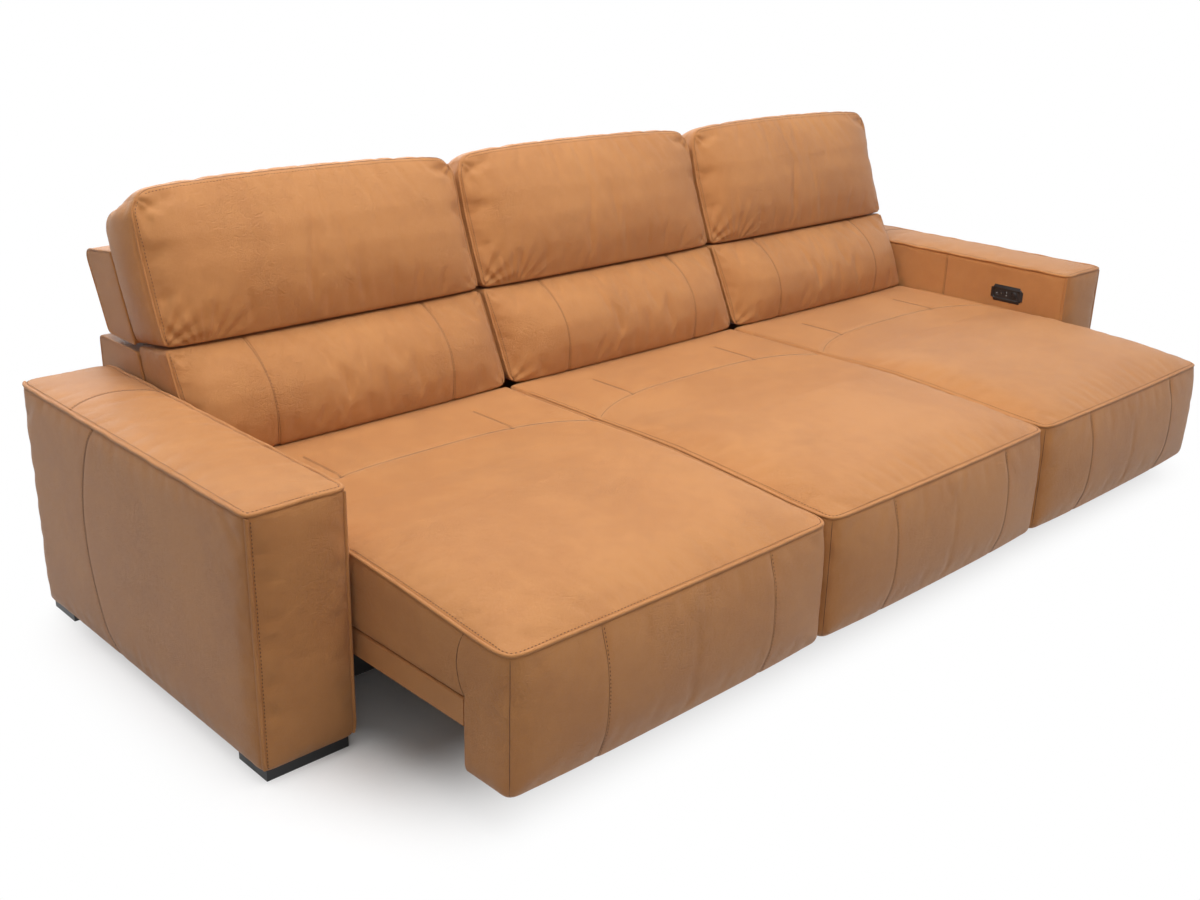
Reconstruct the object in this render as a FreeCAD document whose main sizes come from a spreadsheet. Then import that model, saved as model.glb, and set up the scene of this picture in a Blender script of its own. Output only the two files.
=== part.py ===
import FreeCAD, Part
import math
import os
import re
import Sketcher

# Reclining sofa: three seats that slide forward between two box arms, each with a back
# whose head section tips on a toothed hinge. Millimetres, +Z up, the front faces -Y.
# The origin lies on the floor, at the middle of the sofa with its seats pulled out.

doc = FreeCAD.newDocument("reclining_sofa")
sheet = doc.addObject("Spreadsheet::Sheet", "sizes")
derived = {}
nodes = []

# Driving dimensions
SIZES = {
    # Overall
    "seat_width": 931,
    "seat_gap": 9.5,
    "rear_reach": 771,
    # Arms
    "arm_width": 226,
    "arm_height": 590,
    "arm_depth": 1041,
    "arm_setback": 56,
    "arm_padding": 22,
    "arm_rounding": 16,
    "arm_board": 26,
    "fit_gap": 0.3,
    "foot_height": 45,
    "foot_inset": 16,
    "foot_length": 110,
    # Travel of the seats and how far they stand in front of the arms when closed
    "travel": 430,
    "closed_overhang": 44,
    # Fixed base between the arms
    "base_inset": 146,
    "base_bottom": 70,
    "base_top": 195,
    "beam_thickness": 45,
    "bearer_width": 40,
    "bearer_height": 65,
    "bearer_inset": 75,
    "leg_width": 60,
    "tray_thickness": 8,
    # Telescopic slides
    "slide_length": 560,
    "slide_setback": 65,
    "slide_wall": 2,
    "slide_clearance": 0.4,
    "slide_rise": 13,
    "inner_height": 30,
    "inner_depth": 11,
    "slide_foot": 38,
    # Seat frame and its leather-faced side rails
    "seat_length": 1115,
    "rail_bottom": 203,
    "rail_height": 63,
    "rail_skin": 10,
    "rail_inset": 2,
    "member_thickness": 28,
    "cross_height": 17,
    "cross_depth": 30,
    "webbing_thickness": 2.5,
    "band_width": 50,
    "band_bite": 17,
    "band_end": 6,
    # Seat upholstery
    "soft_gap": 0.3,
    "drop_thickness": 135,
    "drop_bottom": 100,
    "front_edge_height": 404,
    "nose_height": 412,
    "shoulder_height": 431,
    "level_height": 438,
    "nose_crown": 24,
    "shoulder_crown": 26,
    "level_crown": 4,
    "front_bulge": 10,
    "shoulder_length": 265,
    "slope_length": 290,
    "side_ease": 1,
    "side_draw": 9,
    # Linear drive of each seat
    "drive_height": 222,
    "tube_radius": 17,
    "rod_radius": 10,
    "rod_clearance": 0.08,
    "rod_engagement": 60,
    "drive_margin": 30,
    "motor_radius": 19,
    "motor_length": 120,
    "motor_offset": 50,
    "gearbox_length": 65,
    "gearbox_height": 44,
    "gearbox_wall": 4,
    "lug_gap": 5,
    "lug_bite": 10,
    "lug_width": 30,
    "lug_height": 15,
    "shoe_wall": 4,
    "shoe_length": 40,
    # Lower back blocks, with the rear panel that closes the base
    "back_ease": 2,
    "panel_thickness": 16,
    "panel_bottom": 60,
    "block_wall": 18,
    "block_bevel": 6,
    "top_wall": 28,
    "overcut": 5,
    "lower_bottom": 450,
    "lower_top": 652,
    "lower_depth_low": 268,
    "lower_depth_top": 202,
    # Upper back blocks
    "split_gap": 16,
    "upper_step": 6,
    "upper_depth": 140,
    "upper_front_rise": 212,
    "upper_front_shift": 85,
    "upper_rear_rise": 194,
    "upper_rear_shift": 91,
    "upper_rounding": 30,
    # Toothed hinges between the lower and upper blocks
    "hinge_forward": 69,
    "hinge_rise": 32.5,
    "hinge_inset": 150,
    "plate_thickness": 5,
    "plate_gap": 0.3,
    "disc_radius": 24,
    "tooth_depth": 3,
    "tooth_width": 1.8,
    "tooth_pitch": 8,
    "tooth_count": 6,
    "pin_head": 3,
    "foot_drop": 8,
    "foot_reach": 52,
    "pin_radius": 6,
    "pin_clearance": 0.05,
    "flange_thickness": 4,
    "flange_width": 40,
    "pocket_width": 54,
    "pocket_reach": 32,
    "pocket_ease": 2,
    "pocket_rise": 28,
    "pocket_fold": 10,
    # Back cushions, measured from the hinge line
    "lumbar_rest": 444,
    "lumbar_depth": 181,
    "lumbar_crown": 22,
    "lumbar_lip": 72,
    "lumbar_dip": 13,
    "head_lip": 66,
    "head_rise": 21,
    "head_crown": 26,
    "head_height": 353,
    "head_lean": 45,
    "head_top_depth": 110,
    "head_top_drop": 53,
    "head_swell": 20,
    "apex_gap": 3,
    "seam_bow": 3,
    "top_bow": 6,
    # Switch plate and its two buttons on the right arm
    "switch_setback": 213,
    "switch_height": 489,
    "switch_length": 115,
    "switch_width": 50,
    "switch_thickness": 4,
    "switch_box": 20,
    "switch_corner": 8,
    "switch_bevel": 1.6,
    "box_inset": 8,
    "box_fit": 0.5,
    "button_offset": 27,
    "button_radius": 11,
    "rocker_length": 30,
    "rocker_width": 15,
    "button_gap": 0.25,
    "button_proud": 1.5,
    "well_depth": 8,
    "button_depth": 5,
    # Power supply under the seats
    "supply_length": 160,
    "supply_width": 96,
    "supply_height": 42,
    "inlet_depth": 8,
    "inlet_width": 22,
    "inlet_height": 14,
    "tray_margin": 10,
}

for row, (alias, number) in enumerate(SIZES.items(), 1):
    sheet.set("A%d" % row, alias)
    sheet.set("B%d" % row, str(number))
    sheet.setAlias("B%d" % row, alias)


def derive(name, text):
    """Name a length that follows from the driving dimensions."""
    derived[name] = text


def link(text):
    """Turn a formula in plain names into one that the document can follow."""
    def swap(match):
        word = match.group(0)
        if word in derived:
            return "(" + link(derived[word]) + ")"
        return "sizes." + word if word in SIZES else word
    return re.sub(r"[a-z_]+[a-z0-9_]*", swap, text)


def value(text):
    """The present value of a formula, for shapes that are made point by point."""
    return float(sheet.evalExpression(link(text)))


# Lengths that follow
derive("half_inner", "(3 * seat_width + 4 * seat_gap) / 2")
derive("seat_pitch", "seat_width + seat_gap")
derive("arm_rear", "rear_reach - arm_setback")
derive("arm_front", "arm_rear - arm_depth")
derive("seat_front", "arm_front - closed_overhang - travel")
derive("drop_rear", "seat_front + drop_thickness")
derive("seat_rear", "seat_front + seat_length")
derive("base_front", "arm_front + base_inset")
derive("base_rear", "rear_reach - panel_thickness")
derive("rail_top", "rail_bottom + rail_height")
derive("cushion_bottom", "rail_top + webbing_thickness + soft_gap")
derive("member_face", "seat_width / 2 - rail_inset - rail_skin - member_thickness")
derive("slide_step", "slide_wall + slide_clearance")
derive("slide_bottom", "base_top + slide_rise")
derive("slide_front", "base_front + slide_setback")
derive("tube_length", "travel + rod_engagement + drive_margin")
derive("gearbox_rear", "base_rear - beam_thickness - lug_gap")
derive("gearbox_front", "gearbox_rear - gearbox_length")
derive("tube_front", "gearbox_front - tube_length")
derive("bracket_y", "tube_front - travel - drive_margin")
derive("lower_front_low", "rear_reach - lower_depth_low")
derive("lower_front_top", "rear_reach - lower_depth_top")
derive("lower_slope", "(lower_front_top - lower_front_low) / (lower_top - lower_bottom)")
derive("upper_bottom", "lower_top + split_gap")
derive("upper_front", "lower_front_top + upper_step")
derive("upper_slope", "upper_front_shift / upper_front_rise")
derive("hinge_y", "lower_front_top - hinge_forward")
derive("hinge_z", "lower_top + hinge_rise")
derive("back_width", "seat_width - 2 * back_ease")
derive("switch_y", "arm_front + switch_setback")

SEATS = (("left", "-seat_pitch"), ("middle", "0"), ("right", "seat_pitch"))
ARMS = (("left", "-half_inner - arm_width"), ("right", "half_inner"))
TWO_SIDES = (-1, 1)

# Share of a cushion's width, from each end, over which its crown rises
FULL_FROM = 0.13


def bind(item, prop, text):
    item.setExpression(prop, link(text))


def place(item, x="", y="", z=""):
    for axis, text in (("x", x), ("y", y), ("z", z)):
        if text:
            bind(item, "Placement.Base." + axis, text)


def keep(item, label, centre=""):
    """Name a finished sub-part, stand it at its seat and list it for writing."""
    item.Label = label
    place(item, x=centre)
    nodes.append(item)
    return item


def block(name, x, y, z):
    """A box from three pairs of formulas: the low side and the length along each axis."""
    item = doc.addObject("Part::Box", name)
    for prop, pair in (("Length", x), ("Width", y), ("Height", z)):
        bind(item, prop, pair[1])
    place(item, x[0], y[0], z[0])
    return item


def bar(name, radius, length, x, y, z, axis):
    """A round bar that starts at a point and runs along one axis."""
    item = doc.addObject("Part::Cylinder", name)
    turned = {"x": (FreeCAD.Vector(0, 1, 0), 90), "y": (FreeCAD.Vector(1, 0, 0), -90)}
    item.Placement.Rotation = FreeCAD.Rotation(*turned[axis])
    bind(item, "Radius", radius)
    bind(item, "Height", length)
    place(item, x, y, z)
    return item


def cut(name, base, tools):
    if len(tools) > 1:
        joined = doc.addObject("Part::MultiFuse", name + "_tools")
        joined.Shapes = tools
        tools = [joined]
    item = doc.addObject("Part::Cut", name)
    item.Base = base
    item.Tool = tools[0]
    return item


def fuse(name, pieces):
    item = doc.addObject("Part::MultiFuse", name)
    item.Shapes = pieces
    return item


def group(name, pieces):
    """Like pieces that share one node and stay separate solids."""
    item = doc.addObject("Part::Compound", name)
    item.Links = pieces
    return item


def mirrored(name, source):
    item = doc.addObject("Part::Mirroring", name)
    item.Source = source
    item.Normal = FreeCAD.Vector(1, 0, 0)
    return item


def new_body(name):
    return doc.addObject("PartDesign::Body", name)


def outline(body, plane, corners, offset=""):
    """A closed sketch of straight lines through corners given as pairs of formulas."""
    sketch = body.newObject("Sketcher::SketchObject", body.Name + "_outline")
    origin_plane = [part for part in body.Origin.OriginFeatures if part.Role == plane][0]
    sketch.AttachmentSupport = [(origin_plane, "")]
    sketch.MapMode = "FlatFace"
    if offset:
        bind(sketch, "AttachmentOffset.Base.z", offset)
    points = [FreeCAD.Vector(value(u), value(v), 0) for u, v in corners]
    count = len(points)
    for index in range(count):
        sketch.addGeometry(Part.LineSegment(points[index], points[(index + 1) % count]))
    for index in range(count):
        sketch.addConstraint(Sketcher.Constraint("Coincident", index, 2, (index + 1) % count, 1))
    for index, corner in enumerate(corners):
        for kind, text, place_now in zip(("DistanceX", "DistanceY"), corner, points[index]):
            rule = Sketcher.Constraint(kind, -1, 1, index, 1, place_now)
            number = sketch.addConstraint(rule)
            bind(sketch, "Constraints[%d]" % number, text)
    return sketch


def ring(body, plane, u, v, radius, offset=""):
    """A sketch of one circle."""
    sketch = body.newObject("Sketcher::SketchObject", body.Name + "_ring")
    origin_plane = [part for part in body.Origin.OriginFeatures if part.Role == plane][0]
    sketch.AttachmentSupport = [(origin_plane, "")]
    sketch.MapMode = "FlatFace"
    if offset:
        bind(sketch, "AttachmentOffset.Base.z", offset)
    centre = FreeCAD.Vector(value(u), value(v), 0)
    sketch.addGeometry(Part.Circle(centre, FreeCAD.Vector(0, 0, 1), value(radius)))
    for kind, text, now in (("DistanceX", u, centre.x), ("DistanceY", v, centre.y)):
        number = sketch.addConstraint(Sketcher.Constraint(kind, -1, 1, 0, 3, now))
        bind(sketch, "Constraints[%d]" % number, text)
    number = sketch.addConstraint(Sketcher.Constraint("Radius", 0, value(radius)))
    bind(sketch, "Constraints[%d]" % number, radius)
    return sketch


def rectangle(low_u, low_v, high_u, high_v):
    return [(low_u, low_v), (high_u, low_v), (high_u, high_v), (low_u, high_v)]


def pad(body, sketch, length, both_ways=False):
    feature = body.newObject("PartDesign::Pad", body.Name + "_pad")
    feature.Profile = sketch
    feature.Midplane = both_ways
    bind(feature, "Length", length)
    sketch.Visibility = False
    return feature


def pocket(body, sketch, length, both_ways=False, forward=False):
    """A pocket cuts against its sketch's normal, or along it when forward is true."""
    before = body.Tip
    doc.recompute()
    volume = body.Shape.Volume
    feature = body.newObject("PartDesign::Pocket", body.Name + "_pocket")
    feature.Profile = sketch
    feature.Midplane = both_ways
    feature.Reversed = forward
    bind(feature, "Length", length)
    doc.recompute()
    if body.Shape.Volume >= volume:
        raise RuntimeError("%s: the pocket after %s removes nothing" % (body.Name, before.Name))
    return feature


def picked(body, wanted):
    """The body's tip with the names of the edges that the test picks."""
    doc.recompute()
    names = []
    for index, edge in enumerate(body.Tip.Shape.Edges):
        if wanted(edge):
            names.append("Edge%d" % (index + 1))
    return (body.Tip, names)


def round_edges(body, radius, wanted):
    base = picked(body, wanted)
    feature = body.newObject("PartDesign::Fillet", body.Name + "_fillet")
    feature.Base = base
    bind(feature, "Radius", radius)
    return feature


def bevel_edges(body, width, wanted):
    base = picked(body, wanted)
    feature = body.newObject("PartDesign::Chamfer", body.Name + "_chamfer")
    feature.Base = base
    bind(feature, "Size", width)
    return feature


def span(edge, axis):
    return getattr(edge.BoundBox, axis + "Length")


def switch_window(inset):
    """Corners of the switch plate's outline, drawn in by an inset."""
    return rectangle("switch_y - switch_length / 2 + " + inset,
                     "switch_height - switch_width / 2 + " + inset,
                     "switch_y + switch_length / 2 - (%s)" % inset,
                     "switch_height + switch_width / 2 - (%s)" % inset)


def arm_cover(side, low_x):
    """Leather and foam over the arm's frame: a box shell, open underneath."""
    body = new_body("arm_cover_" + side)
    ground = rectangle("0", "arm_front", "arm_width", "arm_rear")
    pad(body, outline(body, "XY_Plane", ground, "foot_height"), "arm_height - foot_height")
    top = value("arm_height")
    bottom = value("foot_height")

    def shows(edge):
        return abs(edge.BoundBox.ZMax - bottom) > 1 or edge.BoundBox.ZMax > top - 1
    round_edges(body, "arm_rounding", shows)
    cavity = rectangle("arm_padding", "arm_front + arm_padding",
                       "arm_width - arm_padding", "arm_rear - arm_padding")
    sketch = outline(body, "XY_Plane", cavity, "foot_height")
    pocket(body, sketch, "arm_height - foot_height - arm_padding", forward=True)
    if side == "right":
        window = switch_window("box_inset")
        pocket(body, outline(body, "YZ_Plane", window), "arm_padding", forward=True)
    return keep(body, "arm_cover_" + side, low_x)


def arm_frame(side, low_x):
    """Boards inside the arm: a carcass of four bays, each split by a rail."""
    inset = "arm_padding + fit_gap"
    length = "arm_depth - 2 * (%s)" % inset
    carcass = block("arm_carcass_" + side, (inset, "arm_width - 2 * (%s)" % inset),
                    ("arm_front + " + inset, length),
                    ("foot_height", "arm_height - foot_height - (%s)" % inset))
    columns = 4
    rows = 2
    bay = "((%s) - %d * arm_board) / %d" % (length, columns + 1, columns)
    tall = "((arm_height - foot_height - (%s)) - %d * arm_board) / %d" % (inset, rows + 1, rows)
    windows = []
    for column in range(columns):
        for row in range(rows):
            low_y = "arm_front + %s + arm_board + %d * ((%s) + arm_board)" % (inset, column, bay)
            low_z = "foot_height + arm_board + %d * ((%s) + arm_board)" % (row, tall)
            windows.append(block("arm_bay_%s_%d_%d" % (side, column, row),
                                 ("0", "arm_width"), (low_y, bay), (low_z, tall)))
    return keep(cut("arm_frame_" + side, carcass, windows), "arm_frame_" + side, low_x)


def arm_feet():
    """Four low black blocks, two under each arm."""
    feet = []
    for side, low_x in ARMS:
        for end, low_y in (("front", "arm_front + foot_inset"),
                           ("rear", "arm_rear - foot_inset - foot_length")):
            feet.append(block("foot_%s_%s" % (side, end),
                              (low_x + " + foot_inset", "arm_width - 2 * foot_inset"),
                              (low_y, "foot_length"), ("0", "foot_height")))
    return keep(group("arm_feet", feet), "arm_feet")


def bearer_x(centre, side):
    """Low side of the bearer under one slide."""
    return "%s + %d * (seat_width / 2 - bearer_inset) - bearer_width / 2" % (centre, side)


def base_frame():
    """Timber base that the arms hold between them: two beams, six bearers and a tray."""
    wide = ("-half_inner", "2 * half_inner")
    tall = ("base_bottom", "base_top - base_bottom")
    members = [block("front_beam", wide, ("base_front", "beam_thickness"), tall),
               block("rear_beam", wide, ("base_rear - beam_thickness", "beam_thickness"), tall)]
    run = ("base_front + beam_thickness", "base_rear - base_front - 2 * beam_thickness")
    rise = ("base_top - bearer_height", "bearer_height")
    for name, centre in SEATS:
        for side in TWO_SIDES:
            members.append(block("bearer_%s_%d" % (name, side + 1),
                                 (bearer_x(centre, side), "bearer_width"), run, rise))
    members.append(block("supply_tray",
                         ("-seat_pitch / 2 - bearer_inset + bearer_width / 2 - seat_gap / 2",
                          "2 * bearer_inset - bearer_width + seat_gap"),
                         ("base_rear - beam_thickness - supply_length - 2 * tray_margin",
                          "supply_length + 2 * tray_margin"),
                         ("base_top - bearer_height", "tray_thickness")))
    return keep(group("base_frame", members), "base_frame")


def base_legs():
    """Four black legs under the joints between the seats."""
    legs = []
    for side in TWO_SIDES:
        for end, low_y in (("front", "base_front"), ("rear", "base_rear - leg_width")):
            legs.append(block("leg_%s_%d" % (end, side + 1),
                              ("%d * seat_pitch / 2 - leg_width / 2" % side, "leg_width"),
                              (low_y, "leg_width"), ("0", "base_bottom")))
    return keep(group("base_legs", legs), "base_legs")


def channel(name, web_near, web_far, tip, low, high, foot=False):
    """One slide member as an open channel, drawn across the slide on the seat's +X side.

    Distances run inwards from the seat frame's member: the web lies between web_near and
    web_far, and the two flanges reach to tip.
    """
    face = "member_face - "
    inner_low = "%s + slide_wall" % low
    inner_high = "%s - slide_wall" % high
    near, far, end = face + web_near, face + web_far, face + tip
    if foot:
        corners = [(end, low), (near, low), (near, "base_top"),
                   (far + " - slide_foot", "base_top"),
                   (far + " - slide_foot", "base_top + slide_wall"),
                   (far, "base_top + slide_wall"), (far, high), (end, high),
                   (end, inner_high), (near, inner_high), (near, inner_low), (end, inner_low)]
    else:
        corners = [(end, low), (far, low), (far, high), (end, high),
                   (end, inner_high), (near, inner_high), (near, inner_low), (end, inner_low)]
    body = new_body(name)
    sketch = outline(body, "XZ_Plane", corners, "-slide_front")
    feature = pad(body, sketch, "slide_length")
    feature.Reversed = True
    return body


def slide_member(kind, side, centre, steps, web_near, web_far, tip, shift, foot=False):
    """A pair of like slide members, left and right of one seat."""
    low = "slide_bottom + %d * slide_step" % steps
    high = "slide_bottom + 4 * slide_step + inner_height - %d * slide_step" % steps
    name = "slide_%s_%s" % (kind, side)
    right = channel(name + "_right", web_near, web_far, tip, low, high, foot)
    pair = group(name, [right, mirrored(name + "_left", right)])
    place(pair, y=shift)
    return keep(pair, name, centre)


def seat_slides(side, centre):
    """Outer, middle and inner members, one inside the next."""
    slide_member("inner", side, centre, 2, "slide_wall", "0", "inner_depth",
                 "-travel")
    middle_near = "(inner_depth + slide_clearance)"
    middle_far = "(inner_depth + slide_clearance + slide_wall)"
    slide_member("middle", side, centre, 1, middle_near, middle_far, "(2 * slide_wall)",
                 "-travel / 2")
    outer_near = "(inner_depth + slide_clearance + slide_step)"
    outer_far = "(inner_depth + slide_clearance + slide_step + slide_wall)"
    slide_member("outer", side, centre, 0, outer_near, outer_far, "(3 * slide_wall)",
                 "0", foot=True)


def seat_frame(side, centre):
    """Timber frame under the cushion: two side members and three cross members."""
    outer = "(member_face + member_thickness)"
    run = ("drop_rear", "seat_rear - drop_rear")
    tall = ("rail_bottom", "rail_height")
    low = ("rail_top - cross_height", "cross_height")
    between = ("-member_face", "2 * member_face")
    members = [block("member_left_" + side, ("-" + outer, "member_thickness"), run, tall),
               block("member_right_" + side, ("member_face", "member_thickness"), run, tall),
               block("cross_front_" + side, between, ("drop_rear", "cross_depth"), tall),
               block("cross_middle_" + side, between,
                     ("bracket_y - cross_depth", "2 * cross_depth"), low),
               block("cross_rear_" + side, between,
                     ("seat_rear - cross_depth", "cross_depth"), low)]
    return keep(group("seat_frame_" + side, members), "seat_frame_" + side, centre)


def seat_rails(side, centre):
    """Leather-faced boards along both sides of the seat frame."""
    body = new_body("rail_right_" + side)
    low = "member_face + member_thickness"
    corners = rectangle(low, "rail_bottom", low + " + rail_skin", "rail_top")
    feature = pad(body, outline(body, "XZ_Plane", corners, "-drop_rear"), "seat_rear - drop_rear")
    feature.Reversed = True
    right = value(low) + value("rail_skin")

    def outside(edge):
        return span(edge, "Y") > 100 and edge.BoundBox.XMin > right - 1
    bevel_edges(body, "rail_skin / 3", outside)
    pair = group("seat_rails_" + side, [body, mirrored("rail_left_" + side, body)])
    return keep(pair, "seat_rails_" + side, centre)


def seat_webbing(side, centre):
    """Elastic bands across and along the frame, joined where they cross."""
    level = ("rail_top", "webbing_thickness")
    wide = "2 * (member_face + band_bite)"
    long = "seat_rear - drop_rear - 2 * band_end"
    first = "drop_rear + band_end"
    bands = []
    across = 6
    along = 4
    for index in range(across):
        low_y = first + " + %d * (%s - band_width) / %d" % (index, long, across - 1)
        bands.append(block("band_across_%s_%d" % (side, index),
                           ("-(%s) / 2" % wide, wide), (low_y, "band_width"), level))
    for index in range(along):
        low_x = "-(%s) / 2 + %d * (%s - band_width) / %d" % (wide, index, wide, along - 1)
        bands.append(block("band_along_%s_%d" % (side, index), (low_x, "band_width"),
                           (first, long), level))
    net = fuse("seat_webbing_" + side, bands)
    net.Refine = True
    return keep(net, "seat_webbing_" + side, centre)


def point(x, y, z):
    return FreeCAD.Vector(x, y, z)


def arc_through(start, end, bulge, forward):
    """An arc between two points of one section, bowed out by bulge towards forward."""
    middle = (start + end) * 0.5 + forward * bulge
    return Part.Arc(start, middle, end).toShape()


def stations(width):
    """Where the sections of a cushion stand: closer together at its rounded ends."""
    half = width / 2
    places = [-half + step * width for step in (0.0, 0.012, 0.045, FULL_FROM)]
    return places + [-place_x for place_x in reversed(places)]


def fullness(x, width):
    """0 at a cushion's ends, rising to 1 where its level middle begins."""
    share = (width / 2 - abs(x)) / (FULL_FROM * width)
    return math.sin(math.pi / 2 * min(1.0, share)) ** 0.5 if share > 0 else 0.0


def end_draw(x, width):
    """How far the outline is drawn in near a cushion's ends, in millimetres."""
    depth = value("side_draw")
    away = width / 2 - abs(x)
    reach = 0.03 * width
    if away >= reach:
        return 0.0
    return depth * (1 - math.sqrt(1 - (1 - away / reach) ** 2))


def pillow(name, section, width):
    """A soft solid lofted through sections that stand along X."""
    wires = []
    for x in stations(width):
        edges = section(x, fullness(x, width), end_draw(x, width))
        wires.append(Part.Wire(edges))
    item = doc.addObject("Part::Feature", name)
    item.Shape = Part.makeLoft(wires, True, True)
    return item


def lines(x, pairs):
    """Straight edges through points of one section."""
    points = [point(x, y, z) for y, z in pairs]
    return [Part.makeLine(first, last) for first, last in zip(points, points[1:])]


def seat_cushion(side, centre):
    """The seat's top cushion: its crown falls to a level stretch that passes under the back."""
    rear = value("seat_rear")
    front = value("drop_rear")
    bottom = value("cushion_bottom")
    shoulder = front + value("shoulder_length")
    level = shoulder + value("slope_length")

    def section(x, full, draw):
        low = bottom + draw
        nose_z = value("nose_height") + full * value("nose_crown") - draw
        shoulder_z = value("shoulder_height") + full * value("shoulder_crown") - draw
        level_z = value("level_height") + full * value("level_crown") - draw
        top = Part.Arc(point(x, front, nose_z), point(x, shoulder, shoulder_z),
                       point(x, level, level_z)).toShape()
        return (lines(x, [(level, level_z), (rear - draw, level_z), (rear - draw, low),
                          (front, low), (front, nose_z)]) + [top])
    width = value("seat_width - 2 * side_ease")
    return keep(pillow("seat_cushion_" + side, section, width), "seat_cushion_" + side, centre)


def seat_front(side, centre):
    """The padded drop front that hides the frame, its face bowed outwards."""
    rear = value("drop_rear")
    front = value("seat_front")
    bottom = value("drop_bottom")

    def section(x, full, draw):
        face = front + value("front_bulge") * (1 - full) + draw
        top_z = value("front_edge_height") - draw + full * 0.4 * value("nose_crown")
        nose_z = value("nose_height") + full * value("nose_crown") - draw
        bow = value("front_bulge")
        face_arc = arc_through(point(x, face + bow, bottom + draw), point(x, face + bow, top_z),
                               (bow - 1) * full + 1, point(0, -1, 0))
        top_arc = arc_through(point(x, face + bow, top_z), point(x, rear, nose_z),
                              value("seam_bow") * (1 + full), point(0, 0, 1))
        return (lines(x, [(rear, nose_z), (rear, bottom + draw), (face + bow, bottom + draw)])
                + [face_arc, top_arc])
    width = value("seat_width - 2 * side_ease")
    return keep(pillow("seat_front_" + side, section, width), "seat_front_" + side, centre)


def seat_drive(side, centre):
    """Electric drive: a motor beside a tube on the base, and a rod that pushes the seat."""
    tube = bar("tube_" + side, "tube_radius", "tube_length", "0", "tube_front",
               "drive_height", "y")
    bore = bar("tube_bore_" + side, "rod_radius + rod_clearance", "tube_length",
               "0", "tube_front", "drive_height", "y")
    motor = bar("motor_" + side, "motor_radius", "motor_length", "motor_offset",
                "gearbox_front - motor_length", "drive_height", "y")
    gearbox = block("gearbox_" + side,
                    ("-tube_radius - gearbox_wall",
                     "tube_radius + motor_offset + motor_radius + 2 * gearbox_wall"),
                    ("gearbox_front", "gearbox_length"),
                    ("drive_height - gearbox_height / 2", "gearbox_height"))
    lug = block("drive_lug_" + side, ("-lug_width / 2", "lug_width"),
                ("gearbox_rear - lug_bite", "beam_thickness"), ("base_top", "lug_height"))
    housing = fuse("drive_housing_" + side, [tube, motor, gearbox, lug])
    keep(cut("seat_motor_" + side, housing, [bore]), "seat_motor_" + side, centre)
    rod = bar("rod_" + side, "rod_radius", "travel + drive_margin + rod_engagement",
              "0", "bracket_y", "drive_height", "y")
    shoe = block("rod_shoe_" + side, ("-rod_radius - shoe_wall", "2 * (rod_radius + shoe_wall)"),
                 ("bracket_y - shoe_length / 2", "shoe_length"),
                 ("drive_height - rod_radius - shoe_wall",
                  "rail_top - cross_height - drive_height + rod_radius + shoe_wall"))
    keep(fuse("actuator_rod_" + side, [rod, shoe]), "actuator_rod_" + side, centre)


def lower_face(z):
    """Depth of the lower block's leaning front face at a height."""
    return "lower_front_low + (%s - lower_bottom) * lower_slope" % z


def upper_face(z):
    """Depth of the upper block's leaning front face at a height."""
    return "upper_front + (%s - upper_bottom) * upper_slope" % z


def lower_back(side, centre):
    """Fixed block behind the lumbar cushion, with the sofa's rear panel hanging from it."""
    body = new_body("lower_back_" + side)
    inside = "rear_reach - panel_thickness"
    corners = [("lower_front_low", "lower_bottom"), ("lower_front_top", "lower_top"),
               ("rear_reach", "lower_top"), ("rear_reach", "panel_bottom"),
               (inside, "panel_bottom"), (inside, "lower_bottom")]
    pad(body, outline(body, "YZ_Plane", corners), "back_width", both_ways=True)
    top = value("lower_top")

    def shows(edge):
        on_top = edge.BoundBox.ZMin > top - 1
        at_rear = edge.BoundBox.YMin > value("rear_reach") - 1 and span(edge, "Z") > 100
        return on_top or at_rear
    bevel_edges(body, "block_bevel", shows)
    return keep(body, "lower_back_" + side, centre)


def upper_back(side, centre):
    """Tipping block behind the head cushion, hollow and open towards the cushion."""
    body = new_body("upper_back_" + side)
    rear_low = "upper_front + upper_depth"
    corners = [("upper_front", "upper_bottom"), (rear_low, "upper_bottom"),
               (rear_low + " + upper_rear_shift", "upper_bottom + upper_rear_rise"),
               ("upper_front + upper_front_shift", "upper_bottom + upper_front_rise")]
    pad(body, outline(body, "YZ_Plane", corners), "back_width", both_ways=True)
    rear_top = value("upper_front + upper_depth + upper_rear_shift")

    def rear_corner(edge):
        return span(edge, "X") > 100 and edge.BoundBox.YMin > rear_top - 1
    round_edges(body, "upper_rounding", rear_corner)
    half = value("back_width") / 2

    def end_face(edge):
        flat = span(edge, "X") < 0.1 and abs(abs(edge.BoundBox.XMin) - half) < 0.1
        behind = edge.BoundBox.YMax > value("upper_front + upper_front_shift") + 1
        return flat and behind
    bevel_edges(body, "block_bevel", end_face)
    hollow = [("upper_front - overcut", "upper_bottom + block_wall"),
              (rear_low + " - block_wall", "upper_bottom + block_wall"),
              (rear_low + " + upper_rear_shift - top_wall",
               "upper_bottom + upper_rear_rise - top_wall"),
              ("upper_front + upper_front_shift - overcut",
               "upper_bottom + upper_front_rise - top_wall")]
    pocket(body, outline(body, "YZ_Plane", hollow), "back_width - 2 * block_wall", both_ways=True)
    return keep(body, "upper_back_" + side, centre)


def hinge_pocket(name, low_z, high_z):
    """Two hollows in a cushion that leave room for the hinges."""
    pieces = []
    for side in TWO_SIDES:
        pieces.append(block("%s_%d" % (name, side + 1),
                            ("%d * (seat_width / 2 - hinge_inset) - pocket_width / 2" % side,
                             "pocket_width"),
                            ("hinge_y - pocket_reach", "pocket_reach + 2 * hinge_forward"),
                            (low_z, "(%s) - (%s)" % (high_z, low_z))))
    return pieces


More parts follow.
